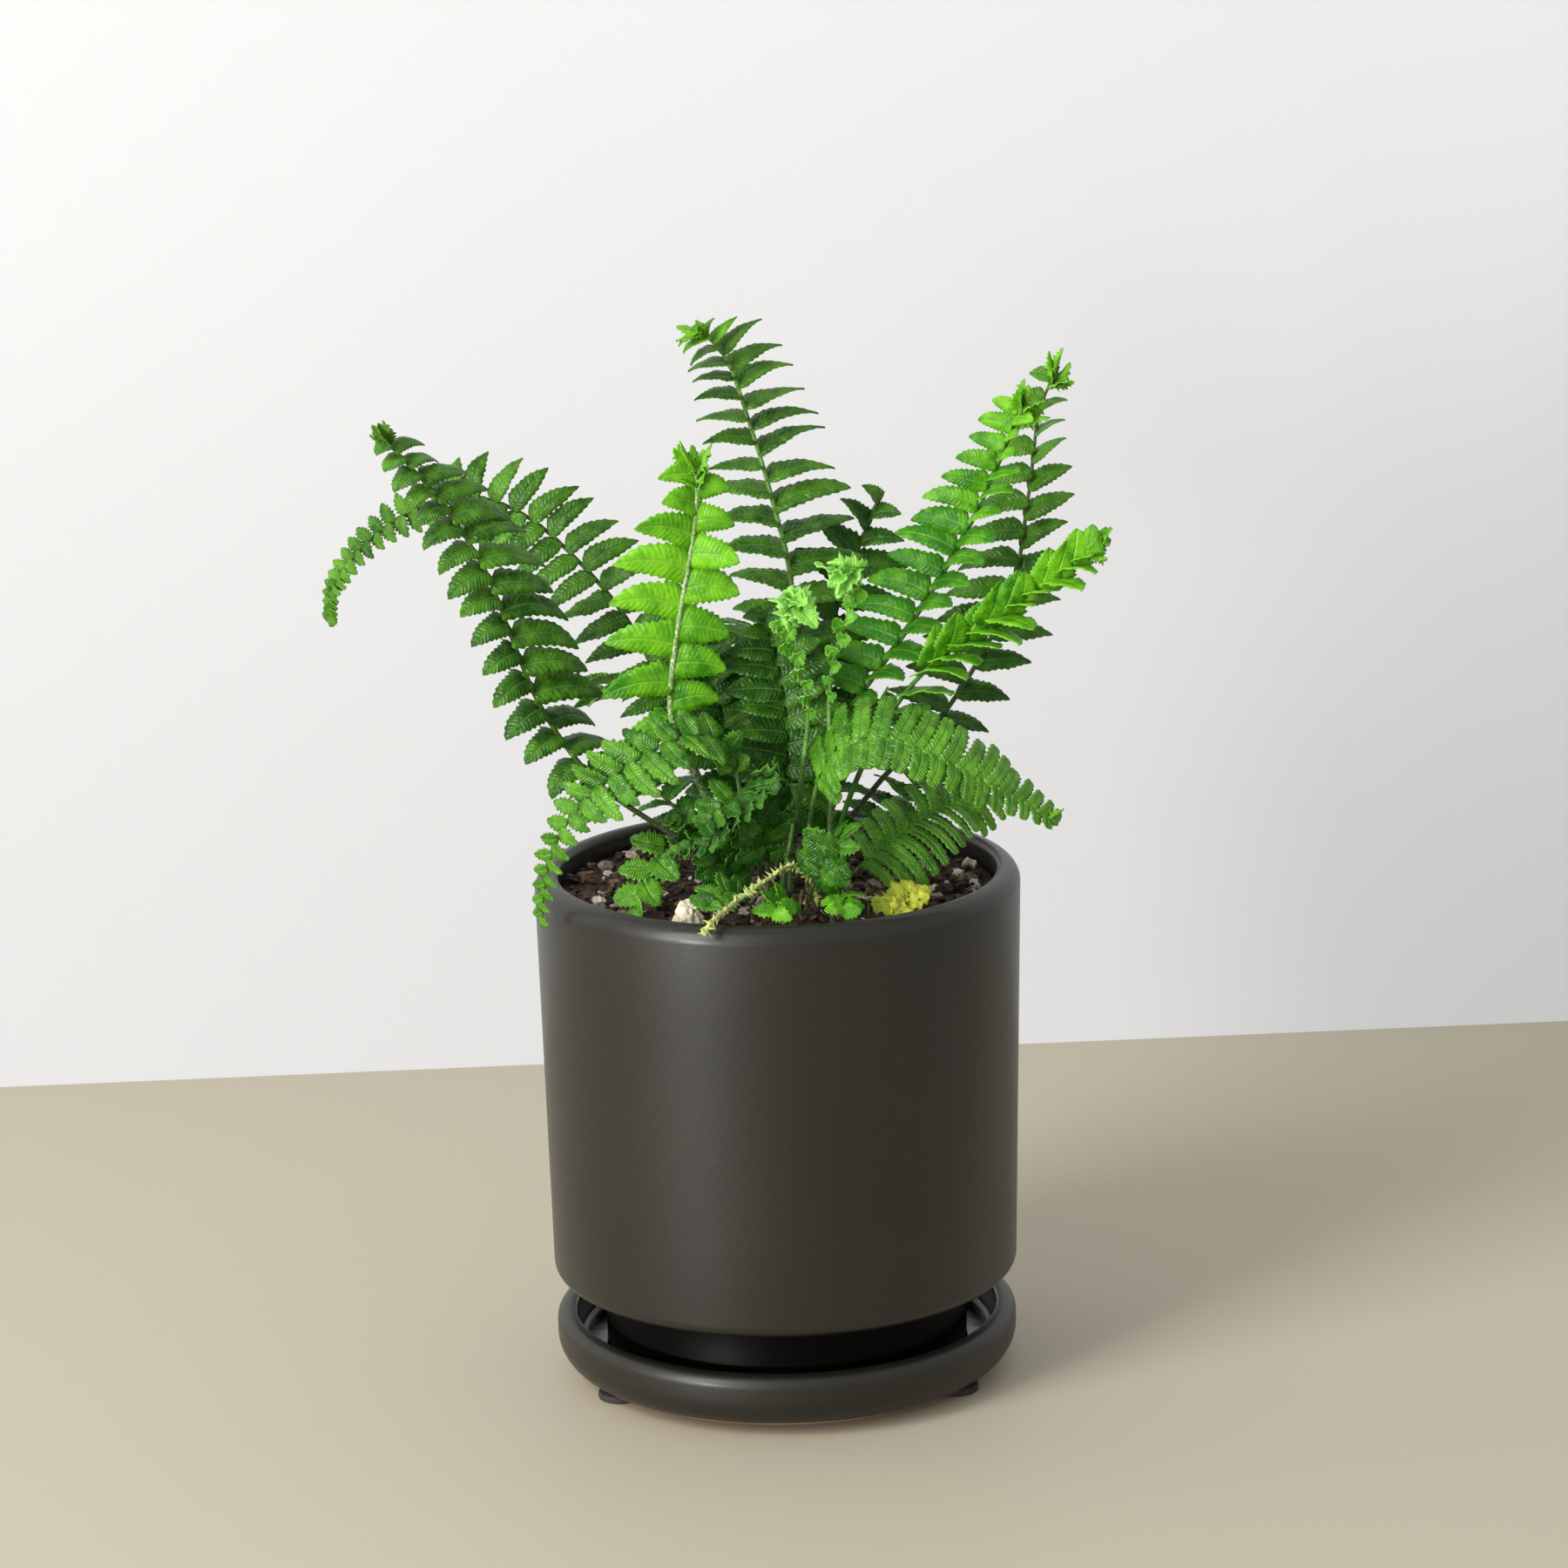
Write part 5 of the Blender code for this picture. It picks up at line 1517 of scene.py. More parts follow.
    def keep_in(self, leaf: Leaflet) -> Leaflet:
        """Shorten a leaflet until it lies in the solids' box.

        Args:
            leaf: The leaflet.

        Returns:
            The leaflet.
        """
        low, high = (np.array(corner) for corner in CAD_BOX)
        for _ in range(self.tries):
            rows = leaf.bend(LEAF_REACH)
            if np.all(rows > low + self.margin) and np.all(rows < high - self.margin):
                break
            leaf.length *= 0.93
            leaf.width *= 0.95
        return leaf

    def young(self) -> list[Leaflet]:
        """Give the crumpled young leaflets that crowd round the tip.

        Returns:
            The leaflets.
        """
        plan = self.plan
        point, forward = self.direction(LEAFY_END)
        face = self.frames[-1][2]
        right = forward.cross(face)
        made = []
        for number in range(plan.crown):
            turn = math.tau * (number / max(1, plan.crown) + self.draw.uniform(-0.04, 0.04))
            out = right * math.cos(turn) + face * math.sin(turn) * 0.8
            open_by = math.radians(self.draw.uniform(8, 58))
            along = (forward * math.cos(open_by) + out * math.sin(open_by)).normalized()
            across = (out.cross(along)).normalized()
            length = plan.crown_size * self.draw.uniform(0.55, 1.0)
            back = forward * (-self.draw.uniform(0.0, 0.6) * plan.crown_size)
            made.append(self.keep_in(Leaflet(
                point=point + back, along=along, across=across, upper=along.cross(across),
                length=length, width=length * self.draw.uniform(0.42, 0.6) * plan.crown_broad,
                pitch=0.0, twist=self.draw.uniform(-40, 40), curl=self.draw.uniform(-0.25, 0.2),
                hook=self.draw.uniform(-0.15, 0.15), droop=0.0, side=1,
                cup=self.draw.uniform(*plan.closed), ripple=plan.crumple,
                phase=self.draw.random(), tone=self.draw.uniform(0.45, 1.0),
            )))
        return made

    def stem_half(self, place: float) -> float:
        """Give the stem's radius in millimetres at a place."""
        return self.plan.stem * (1.0 - self.taper * place) * self.slim


@dataclass
class FernGrower:
    """Models the leaflets, stems and hairs of every frond and dresses them.

    Stems are darkest below a height and get paler for some way above it, in millimetres.
    Past late_from of a frond its leaflets have the tip's outline. A stem with shaggy_from
    hairs or more has the thicker ones.
    """

    dark_below: float = 128.0
    dark_rise: float = 45.0
    stem_end: float = 0.994
    ring_step: float = 2.6
    late_from: float = 0.45
    hairs_above: float = 118.0
    hair_length: Pair = (0.4, 1.3)
    hair_widths: Pair = (0.1, 0.15)
    shaggy_from: int = 200

    def __post_init__(self) -> None:
        """Make the patterns and the materials that the fronds share."""
        self.patterns: dict[tuple[LeafKind, int], tuple[Piece, np.ndarray]] = {}
        for kind, pattern in LEAF_PATTERNS.items():
            blade = pattern.build(f"pattern_{kind.value}")
            flat = read_places(blade)
            flipped = copy_to(blade, flat, f"{blade.name}_flipped")
            flipped.data.flip_normals()
            self.patterns[kind, 1] = (blade, flat)
            self.patterns[kind, -1] = (flipped, flat)
        self.hair = self.make_hair()
        self.leaves = {
            tint: tuple(finish.build() for finish in pair) for tint, pair in LEAF_FINISHES.items()
        }
        self.stems = {finish.name: finish.build() for finish in STEM_FINISHES}

    def make_hair(self) -> Piece:
        """Model one hair as a thin upright spike of unit height.

        Returns:
            The hair.
        """
        deselect()
        bpy.ops.mesh.primitive_cone_add(
            vertices=3, radius1=1.0, radius2=0.0, depth=1.0, location=(0, 0, 0.5))
        return settle(bpy.context.object, "pattern_hair")

    def hairs(self, samples: Sequence[Vector], radius: Callable[[float], float], count: int,
              length: Pair, width: float, draw: random.Random) -> list[Piece]:
        """Set hairs on a stem.

        Args:
            samples: Even points of the stem.
            radius: Its radius at a share of its length.
            count: How many hairs it has.
            length: Their shortest and longest length.
            width: Their radius at the foot.
            draw: The random draws.

        Returns:
            The hairs.
        """
        flat = read_places(self.hair)
        low = next(i for i, p in enumerate(samples) if p.z > self.hairs_above)
        made = []
        for _ in range(count):
            place = draw.uniform(low, len(samples) - 2)
            index = int(place)
            point = samples[index].lerp(samples[index + 1], place - index)
            forward = (samples[index + 1] - samples[index]).normalized()
            side = forward.orthogonal().normalized()
            turn = draw.uniform(0, math.tau)
            out = side * math.cos(turn) + forward.cross(side) * math.sin(turn)
            lean = (out + forward * draw.uniform(-0.3, 0.9)).normalized()
            cross = lean.cross(forward).normalized()
            other = lean.cross(cross)
            foot = point + out * radius(place / (len(samples) - 1)) * 0.8
            tall = draw.uniform(*length)
            places = (np.array(foot) + flat[:, :1] * width * np.array(cross)
                      + flat[:, 1:2] * width * np.array(other) + flat[:, 2:] * tall * np.array(lean))
            hair = copy_to(self.hair, to_frame(places), "hair")
            paint(hair, draw.uniform(0.6, 1.0))
            made.append(hair)
        return made

    def blades(self, leaflets: Sequence[Leaflet], kinds: Sequence[LeafKind],
               tint: LeafTint, name: str) -> Piece:
        """Copy and bend the patterns, join them and give them their thickness.

        Args:
            leaflets: Where each leaflet stands.
            kinds: The outline of each.
            tint: Their colours.
            name: The piece's name.

        Returns:
            One piece with the upper and the under side in its first two slots.
        """
        made = []
        for leaf, kind in zip(leaflets, kinds):
            pattern, flat = self.patterns[kind, leaf.side]
            copy = copy_to(pattern, leaf.bend(flat), "leaflet")
            paint(copy, min(1.0, max(0.0, leaf.tone)))
            made.append(copy)
        piece = join_up(made, name)
        dress(piece, *self.leaves[tint])
        apply_modifier(
            piece, "SOLIDIFY", thickness=BLADE_THICKNESS * MM, offset=0.0, use_even_offset=False,
            material_offset=1, material_offset_rim=1,
        )
        piece.data.shade_smooth()
        return piece

    def stem(self, frond: Frond) -> list[Piece]:
        """Model a frond's stem and its hairs.

        Args:
            frond: The frond.

        Returns:
            The stem and each hair.
        """
        plan = frond.plan
        shares = np.linspace(0.0, self.stem_end, max(24, int(frond.reach / self.ring_step)))
        points = [frond.direction(s)[0] for s in shares]
        radii = [frond.stem_half(s) * MM for s in shares]
        tube = draw_tube(to_frame(points), radii, "stem")
        height = read_places(tube)[:, 2] / MM - self.dark_below
        paint(tube, np.clip(height / self.dark_rise, 0.0, 0.6))
        tube.data.shade_smooth()
        material = self.stems[plan.stem_finish.name]
        dress(tube, material)
        thin, thick = self.hair_widths
        width = thick if plan.hairs >= self.shaggy_from else thin
        hairs = self.hairs(
            frond.samples, frond.stem_half, plan.hairs, self.hair_length, width, frond.draw)
        for hair in hairs:
            dress(hair, material)
        return [tube, *hairs]

    def grow(self, plan: FrondPlan) -> Piece:
        """Grow one frond as one piece that stands for its solid.

        Args:
            plan: The frond's plan.

        Returns:
            The piece.
        """
        frond = Frond(plan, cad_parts[plan.name])
        leaflets = frond.leaflets()
        late = len(leaflets) * self.late_from
        kinds = [plan.tip_leaf or plan.leaf if number > late else plan.leaf
                 for number in range(len(leaflets))]
        name = "leafy_" + plan.name.removeprefix("frond_")
        grown = math.ceil(len(leaflets) * plan.young_from)
        parts = [self.blades(leaflets[:grown], kinds[:grown], plan.tint, name)]
        young = leaflets[grown:] + frond.young()
        if young:
            kinds = kinds[grown:] + [LeafKind.YOUNG] * (len(young) - len(kinds[grown:]))
            parts.append(self.blades(young, kinds, plan.crown_tint, "crown"))
        parts += self.stem(frond)
        piece = join_up(parts, name)
        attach(piece, "root")
        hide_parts(plan.name)
        LOG.info("%s: %d leaflets, %d found in the solid", name, len(leaflets), len(frond.shifts))
        return piece

    def finish(self) -> None:
        """Remove the patterns."""
        for pattern, _ in self.patterns.values():
            drop(pattern)
        drop(self.hair)


# Metres within which a vertex is on a ring of a turned piece
ON_RING = 1e-5


@dataclass
class Turned:
    """A piece whose section is turned about the pot's axis.

    Below low_top, in millimetres, it has the low finish, a darker glaze that paints the shade
    under the piece's body. Ring says that it is open in the middle.
    """

    name: str
    node: str
    slot: str
    profile: Line
    finish: GlazeFinish
    shade_finish: Optional[GlazeFinish] = None
    low_top: float = 0.0
    ring: bool = False
    sides: int = 144

    def build(self) -> Piece:
        """Draw the section up from a circle, ring by ring.

        Returns:
            The closed piece.
        """
        piece = draw_up(self.name, self.profile, self.sides, self.ring)
        if self.ring:
            ends = (self.profile[0], self.profile[-1])
            x, y = POT_AXIS[0] * MM, POT_AXIS[1] * MM
            pick(piece, lambda p: any(
                abs(p.z - height * MM) < ON_RING
                and abs(math.hypot(p.x - x, p.y - y) - radius * MM) < ON_RING
                for radius, height in ends))
            bpy.ops.mesh.bridge_edge_loops()
        face_out(piece)
        smooth_over(piece)
        dress(piece, *(f.build() for f in (self.finish, self.shade_finish) if f is not None))
        for face in piece.data.polygons:
            face.material_index = int(face.center.z < self.low_top * MM)
        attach(piece, "root")
        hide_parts(self.node)
        return piece


def arc(centre: Pair, radius: float, start: float, end: float, steps: int) -> list[Pair]:
    """Give points of a section along an arc.

    Args:
        centre: Its centre, as distance from the axis and height.
        radius: Its radius.
        start: Where it starts, in degrees from straight outwards.
        end: Where it ends.
        steps: How many stretches it has.

    Returns:
        The points.
    """
    angles = np.radians(np.linspace(start, end, steps + 1))
    return [(centre[0] + radius * math.cos(a), centre[1] + radius * math.sin(a)) for a in angles]


@dataclass
class Pot:
    """The matte cylinder pot with its undercut foot, on which a bead of glaze has pooled."""

    rim_height: float = 124.0
    rim_radius: float = 57.5
    rim_round: float = 4.0
    inner_round: float = 1.7
    wall: float = 5.7
    body_foot: Pair = (55.7, 25.2)
    body_round: float = 3.0
    foot_radius: float = 43.5
    foot_wall: float = 5.5
    foot_base: float = 7.3
    pool: float = 14.2
    bead: float = 0.22
    floor: float = 12.5
    drain: float = 6.0

    def profile(self) -> list[Pair]:
        """Give the section from the drain hole round the outside to the inside floor.

        Returns:
            Radius and height of each of its points.
        """
        body, low = self.body_foot
        foot, base, pool = self.foot_radius, self.foot_base, self.pool
        inner = self.rim_radius - self.wall
        step = low + self.foot_wall
        points = [
            (self.drain, base), (foot - 1, base), (foot - 0.3, base + 0.3), (foot, base + 1),
            (foot, pool - 0.5), (foot + self.bead, pool - 0.2), (foot + self.bead, pool + 0.2),
            (foot, pool + 0.5), (foot, low),
        ]
        points += arc((body - self.body_round, low + self.body_round), self.body_round, -90, 0, 8)
        for share in (0.2, 0.4, 0.6, 0.8):
            points.append((blend((body, self.rim_radius), share),
                           blend((low + self.body_round, self.rim_height - self.rim_round), share)))
        points += arc((self.rim_radius - self.rim_round, self.rim_height - self.rim_round),
                      self.rim_round, 0, 90, 10)
        points += arc((inner + self.inner_round, self.rim_height - self.inner_round),
                      self.inner_round, 90, 180, 5)
        points += [(body - self.wall, step), (foot - self.foot_wall, step)]
        points += [(foot - self.foot_wall, self.floor), (self.drain, self.floor)]
        return points

    def build(self) -> Piece:
        """Turn the pot.

        Returns:
            The pot.
        """
        # The foot below the body's rounding takes the darker foot glaze, painted shade under the
        # body.
        return Turned(
            "glazed_pot", "pot", "glaze", self.profile(), POT_GLAZE, POT_FOOT_SHADE_GLAZE,
            self.body_foot[1] + 0.1, ring=True,
        ).build()


@dataclass
class Saucer:
    """The saucer with its round lip, matte outside and pooled glaze inside."""

    base: float = 2.0
    radius: float = 55.4
    top_round: float = 3.0
    foot_round: float = 8.0
    round_centre: float = 12.7
    lip_round: float = 1.6
    inner_radius: float = 50.4
    floor: float = 7.0
    inner_round: float = 2.0

    def profile(self) -> list[Pair]:
        """Give the section from the underside round the lip to the floor.

        Returns:
            Radius and height of each of its points.
        """
        points = arc((self.radius - self.foot_round, self.base + self.foot_round),
                     self.foot_round, -90, 0, 9)
        points += arc((self.radius - self.top_round, self.round_centre), self.top_round, 0, 90, 9)
        lip = self.round_centre + self.top_round - self.lip_round
        points += arc((self.inner_radius + self.lip_round, lip), self.lip_round, 90, 180, 6)
        points += arc((self.inner_radius - self.inner_round, self.floor + self.inner_round),
                      self.inner_round, 0, -90, 4)
        return points + [(30.0, self.floor), (10.0, self.floor)]

    def build(self) -> Piece:
        """Turn the saucer."""
        return Turned(
            "glazed_saucer", "saucer", "saucer_glaze", self.profile(), SAUCER_GLAZE).build()


@dataclass
class Pads:
    """The three rubber pads under the saucer."""

    radius: float = 5.5
    height: float = 1.7
    circle: float = 46.0
    bearings: tuple[float, ...] = (-150.0, -30.0, 90.0)
    edge: float = 0.45

    def build(self) -> list[Piece]:
        """Model each pad as a disc with rounded edges.

        Returns:
            The pads.
        """
        material = PAD_RUBBER.build()
        made = []
        for number, bearing in enumerate(self.bearings, start=1):
            angle = math.radians(bearing)
            x = (POT_AXIS[0] + self.circle * math.cos(angle)) * MM
            y = (POT_AXIS[1] + self.circle * math.sin(angle)) * MM
            deselect()
            bpy.ops.mesh.primitive_cylinder_add(
                vertices=48, radius=self.radius * MM, depth=self.height * MM,
                location=(x, y, self.height * MM / 2),
            )
            pad = settle(bpy.context.object, f"rubber_pad_{number}")
            apply_modifier(pad, "BEVEL", width=self.edge * MM, segments=3, limit_method="ANGLE")
            smooth_over(pad)
            dress(pad, material)
            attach(pad, "root")
            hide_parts(f"pad_{number}")
            made.append(pad)
        return made


# Where the pale stone lies on the mix
STONE_PLACE = (-20.7, -39.0)


@dataclass
class PottingMix:
    """The block of mix: a rough top with loose crumbs, chips and pale pumice on it.

    Its top is flat within flat_room of the stone, and as rough as elsewhere past flat_rise
    more. Lower is its section inside the pot's foot, as radius and height.
    """

    height: float = 118.6
    edge: float = 51.3
    rings: int = 34
    sides: int = 128
    relief: float = 1.2
    grain: float = 9.0
    crumbs: int = 1500
    lumps: int = 200
    chips: int = 170
    lower: Line = ((37.7, 12.8), (37.7, 31.0), (49.7, 31.0))
    stone: Pair = STONE_PLACE
    stone_room: float = 4.6
    flat_room: float = 6.0
    flat_rise: float = 5.0
    body_tone: float = 0.22
    draw: random.Random = field(default_factory=lambda: random.Random("mix"))

    def level(self, x: float, y: float) -> float:
        """Give the height of the top at a place.

        Args:
            x: Distance from the axis to the right.
            y: Distance from it to the back.

        Returns:
            The height, in millimetres.
        """
        coarse = noise.noise(Vector((x / self.grain, y / self.grain, 3.7)))
        fine = noise.noise(Vector((x / self.grain * 2.3, y / self.grain * 2.3, 9.1)))
        away = math.hypot(x - self.stone[0], y - self.stone[1])
        flat = min(1.0, max(0.0, (away - self.flat_room) / self.flat_rise))
        grit = noise.noise(Vector((x, y, 1.3))) * 0.3
        grit += noise.noise(Vector((x * 2.2, y * 2.2, 5.0))) * 0.2
        return self.height + self.relief * (coarse + 0.5 * fine) * flat + grit * flat

    def block(self) -> Piece:
        """Model the block from the inside floor of the pot up to its rough top.

        Returns:
            The block.
        """
        section = [*self.lower, (self.edge, self.height)]
        piece = draw_up("mix_body", section, self.sides)
        middle = (*(POT_AXIS[:2] * MM), self.height * MM)
        radius = self.edge
        for _ in range(self.rings):
            share = (radius - self.edge / (self.rings + 1)) / radius
            bpy.ops.mesh.extrude_region_move(TRANSFORM_OT_translate={"value": (0, 0, 0)})
            bpy.ops.transform.resize(value=(share, share, 1.0), center_override=middle)
            radius *= share
        face_out(piece)
        rows = read_places(piece)
        for row in rows:
            if row[2] > (self.height - 0.01) * MM:
                x, y = row[0] / MM - POT_AXIS[0], row[1] / MM - POT_AXIS[1]
                if math.hypot(x, y) < self.edge - 0.5:
                    row[2] = self.level(x, y) * MM
        set_places(piece, rows)
        piece.data.shade_smooth()
        paint(piece, self.body_tone)
        return piece

    def crumb(self, name: str, level: int, seed: int, stretch: Point) -> Piece:
        """Model one crumb of unit radius.

        Args:
            name: Its name.
            level: How finely the ball that it starts from is divided.
            seed: Seed of its dents.
            stretch: Its proportions.

        Returns:
            The crumb.
        """
        deselect()
        bpy.ops.mesh.primitive_ico_sphere_add(subdivisions=level, radius=1.0, location=(0, 0, 0))
        piece = settle(bpy.context.object, name)
        start_edit(piece)
        bpy.ops.mesh.select_all(action="SELECT")
        bpy.ops.transform.vertex_random(offset=0.32, uniform=0.3, normal=0.4, seed=seed)
        bpy.ops.transform.resize(value=stretch)
        return settle(piece, name)

    def scatter(self, patterns: Sequence[Piece], count: int, size: Pair,
                tones: Pair, name: str) -> Piece:
        """Lay copies of crumbs on the mix, clear of the stone.

        Args:
            patterns: The crumbs to copy.
            count: How many to lay.
            size: Their smallest and largest radius.
            tones: Their darkest and palest tone.
            name: The joined piece's name.

        Returns:
            The joined crumbs.
        """
        made = []
        flats = [read_places(p) for p in patterns]
        while len(made) < count:
            turn = self.draw.uniform(0, math.tau)
            reach = (self.edge - 1.2) * math.sqrt(self.draw.random())
            x, y = reach * math.cos(turn), reach * math.sin(turn)
            if not self.clear_of_stone(x, y):
                continue
            radius = size[0] + (size[1] - size[0]) * self.draw.random() ** 2.2
            number = self.draw.randrange(len(patterns))
            axis = Vector([self.draw.gauss(0, 1) for _ in range(3)]).normalized()
            spin = np.array(Matrix.Rotation(self.draw.uniform(0, math.tau), 3, axis))
            spread = np.array((1.0, 1.0, 0.75))
            rows = (flats[number] @ spin.T) * spread * radius
            room = min(1.0, (self.edge - 0.2 - math.hypot(x, y)) / radius)
            rows = rows * room + np.array((x, y, self.level(x, y) + radius * 0.35))
            crumb = copy_to(patterns[number], to_frame(rows), "crumb")
            paint(crumb, self.draw.uniform(*tones))
            made.append(crumb)
        piece = join_up(made, name)
        smooth_over(piece, 35.0)
        return piece

    def clear_of_stone(self, x: float, y: float) -> bool:
        """Say whether a place is away from the pale stone."""
        return math.hypot((x - self.stone[0]) / 1.2, y - self.stone[1]) > self.stone_room

    def build(self) -> list[Piece]:
        """Make the block with its crumbs, and the pale chips.

        Returns:
            The mix and the chips.
        """
        grit, pale = MIX_GRIT.build(), PUMICE_GRIT.build()
        small = [self.crumb(f"crumb_{i}", 1, i, s) for i, s in enumerate(
            ((1.0, 0.8, 0.6), (1.2, 0.7, 0.5), (0.9, 0.9, 0.8)))]
        large = [self.crumb(f"chip_{i}", 2, 10 + i, s) for i, s in enumerate(
            ((1.1, 0.8, 0.7), (1.0, 0.9, 0.6), (0.9, 0.8, 0.9)))]
        body = self.block()
        bits = self.scatter(small, self.crumbs, (0.35, 1.7), (0.0, 0.72), "mix_bits")
        lumps = self.scatter(large, self.lumps, (0.9, 2.7), (0.05, 0.85), "mix_lumps")
        for piece in (body, bits, lumps):
            dress(piece, grit)
        soil = join_up([body, bits, lumps], "potting_mix_fine")
        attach(soil, "root")
        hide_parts("potting_mix")
        chips = self.scatter(large, self.chips, (0.6, 2.6), (0.05, 0.95), "pumice_chips")
        dress(chips, pale)
        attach(chips, "root")
        drop(*small, *large)
        return [soil, chips]


@dataclass
class PaleStone:
    """The worn pale stone on the mix."""

    centre: Pair = STONE_PLACE
    half: Point = (3.7, 3.2, 4.6)
    turn: float = -20.0
    base: float = 118.9
    tone: float = 0.62
    cuts: tuple[tuple[Point, float], ...] = (
        ((0.9, -0.5, 0.4), 0.72), ((-0.6, -0.8, 0.3), 0.78), ((0.2, -0.3, 1.0), 0.7),
        ((-0.9, 0.2, 0.5), 0.8), ((0.6, 0.6, 0.6), 0.74), ((0.1, -1.0, -0.1), 0.82),
    )

    def build(self) -> Piece:
        """Wear a ball into the stone and lay it on its flat side.

        Returns:
            The stone.
        """
        deselect()
        bpy.ops.mesh.primitive_ico_sphere_add(subdivisions=5, radius=1.0, location=(0, 0, 0))
        piece = settle(bpy.context.object, "worn_stone")
        turn = math.radians(self.turn)
        rows = []
        for row in read_places(piece):
            way = Vector(row).normalized()
            worn = min([1.0] + [
                depth / max(0.1, way.dot(Vector(cut).normalized())) for cut, depth in self.cuts])
            worn += 0.16 * noise.noise(way * 2.6) + 0.05 * noise.noise(way * 9.0)
            x, y, z = (row[i] * worn * self.half[i] for i in range(3))
            height = max(self.base, self.base + self.half[2] * 0.72 + z)
            rows.append((
                self.centre[0] + x * math.cos(turn) - y * math.sin(turn),
                self.centre[1] + x * math.sin(turn) + y * math.cos(turn), height,
            ))
        set_places(piece, to_frame(rows))
        smooth_over(piece)
        paint(piece, self.tone)
        dress(piece, STONE_GRIT.build())
        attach(piece, "root")
        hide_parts("pale_stone")
        return piece


@dataclass
class Runner:
    """The pale scaly runner that leans over the rim."""

    grower: FernGrower
    foot: Pair = (9, -18.5)
    route: tuple[Point, ...] = (
        (7, -20, 127), (3, -27, 131), (-3, -37, 130), (-10, -48, 128), (-15, -56, 126),
        (-17, -60, 124),
    )
    radius: float = 0.5
    scales: int = 150
    hairs: int = 150

    def build(self) -> Piece:
        """Model the runner with its scales and hairs.

        Returns:
            The runner.
        """
        samples, _ = smooth_route(self.foot, self.route)
        draw = random.Random("runner fine")
        shares = np.linspace(0, 1, 60)
        points = [samples[int(s * (ROUTE_SAMPLES - 1))] for s in shares]
        radii = [(self.radius * (0.95 + 0.18 * draw.random())) * MM for _ in shares]
        tube = draw_tube(to_frame(points), radii, "runner_tube", sides=3)
        paint(tube, 0.7)
        tube.data.shade_smooth()
        spikes = self.grower.hairs(
            samples, lambda s: self.radius, self.hairs, (0.5, 1.6), 0.09, draw)
        scales = self.grower.hairs(
            samples, lambda s: self.radius * 0.8, self.scales, (0.9, 2.0), 0.46, draw)
        piece = join_up([tube, *spikes, *scales], "scaly_runner")
        rows = read_places(piece)
        rows[:, 1] = np.maximum(rows[:, 1], CAD_BOX[0][1] + Frond.margin)
        set_places(piece, rows)
        dress(piece, self.grower.stems[RUNNER_PALE.name])
        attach(piece, "root")
        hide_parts("runner")
        return piece


@dataclass
class Rootlets:
    """The brown hairy rootlets at the plant's foot, which climb and then sag to the mix."""

    grower: FernGrower
    starts: tuple[Pair, ...] = (
        (9, -27), (11, -29), (6, -25), (13, -30), (0, -22), (-3, -24), (16, -28),
    )
    start_height: float = 119.5
    lowest: float = 118.4
    steps: int = 22
    step: float = 0.75
    sag: float = 0.09
    radius: float = 0.25
    hairs: int = 26

    def build(self) -> Piece:
        """Let each rootlet wander from its start, and join them.

        Returns:
            The rootlets, as one piece.
        """
        draw = random.Random("rootlets")
        parts = []
        for x, y in self.starts:
            points = []
            at = Vector((x, y, self.start_height))
            heading = Vector((draw.uniform(-0.5, 0.5), draw.uniform(-1, 0.2), draw.uniform(0.6, 1.4)))
            for _ in range(self.steps):
                points.append(at.copy())
                heading += Vector([draw.uniform(-0.25, 0.25) for _ in range(3)])
                heading.z -= self.sag
                at += heading.normalized() * self.step
                at.z = max(at.z, self.lowest)
            parts.append(draw_tube(
                to_frame(points), [draw.uniform(0.22, 0.34) * MM] * len(points), "root", sides=1))
            parts += self.grower.hairs(
                points, lambda s: self.radius, self.hairs, (0.5, 1.5), 0.05, draw)
        for part in parts:
            paint(part, draw.uniform(0.2, 0.9))
        piece = join_up(parts, "brown_rootlets")
        dress(piece, self.grower.stems[STEM_BROWN.name])
        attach(piece, "root")
        return piece


@dataclass(frozen=True)
class Softbox:
    """A soft rectangular light that faces the plant.

    Its direction from the plant is in degrees, its distance and its width and height in
    metres, and its power in watts.
    """

    name: str
    bearing: float
    elevation: float
    size: Pair
    power: float
    distance: float = 1.8
    aim_height: float = 0.1
    colour: Colour = (1.0, 0.985, 0.965)

    def build(self) -> None:
        """Hang the light."""
        turn, rise = math.radians(self.bearing), math.radians(self.elevation)
        out = Vector((math.cos(turn) * math.cos(rise), math.sin(turn) * math.cos(rise),
                      math.sin(rise)))
        light = bpy.data.lights.new(self.name, "AREA")
        light.shape = "RECTANGLE"
        light.size, light.size_y = self.size
        light.energy = self.power
        light.color = self.colour
        box = bpy.data.objects.new(self.name, light)
        aim = Vector(POT_AXIS * MM) + Vector((0.0, 0.0, self.aim_height))
        box.location = aim + out * self.distance
        box.rotation_mode = "QUATERNION"
        box.rotation_quaternion = (-out).to_track_quat("-Z", "Y")
        bpy.context.scene.collection.objects.link(box)


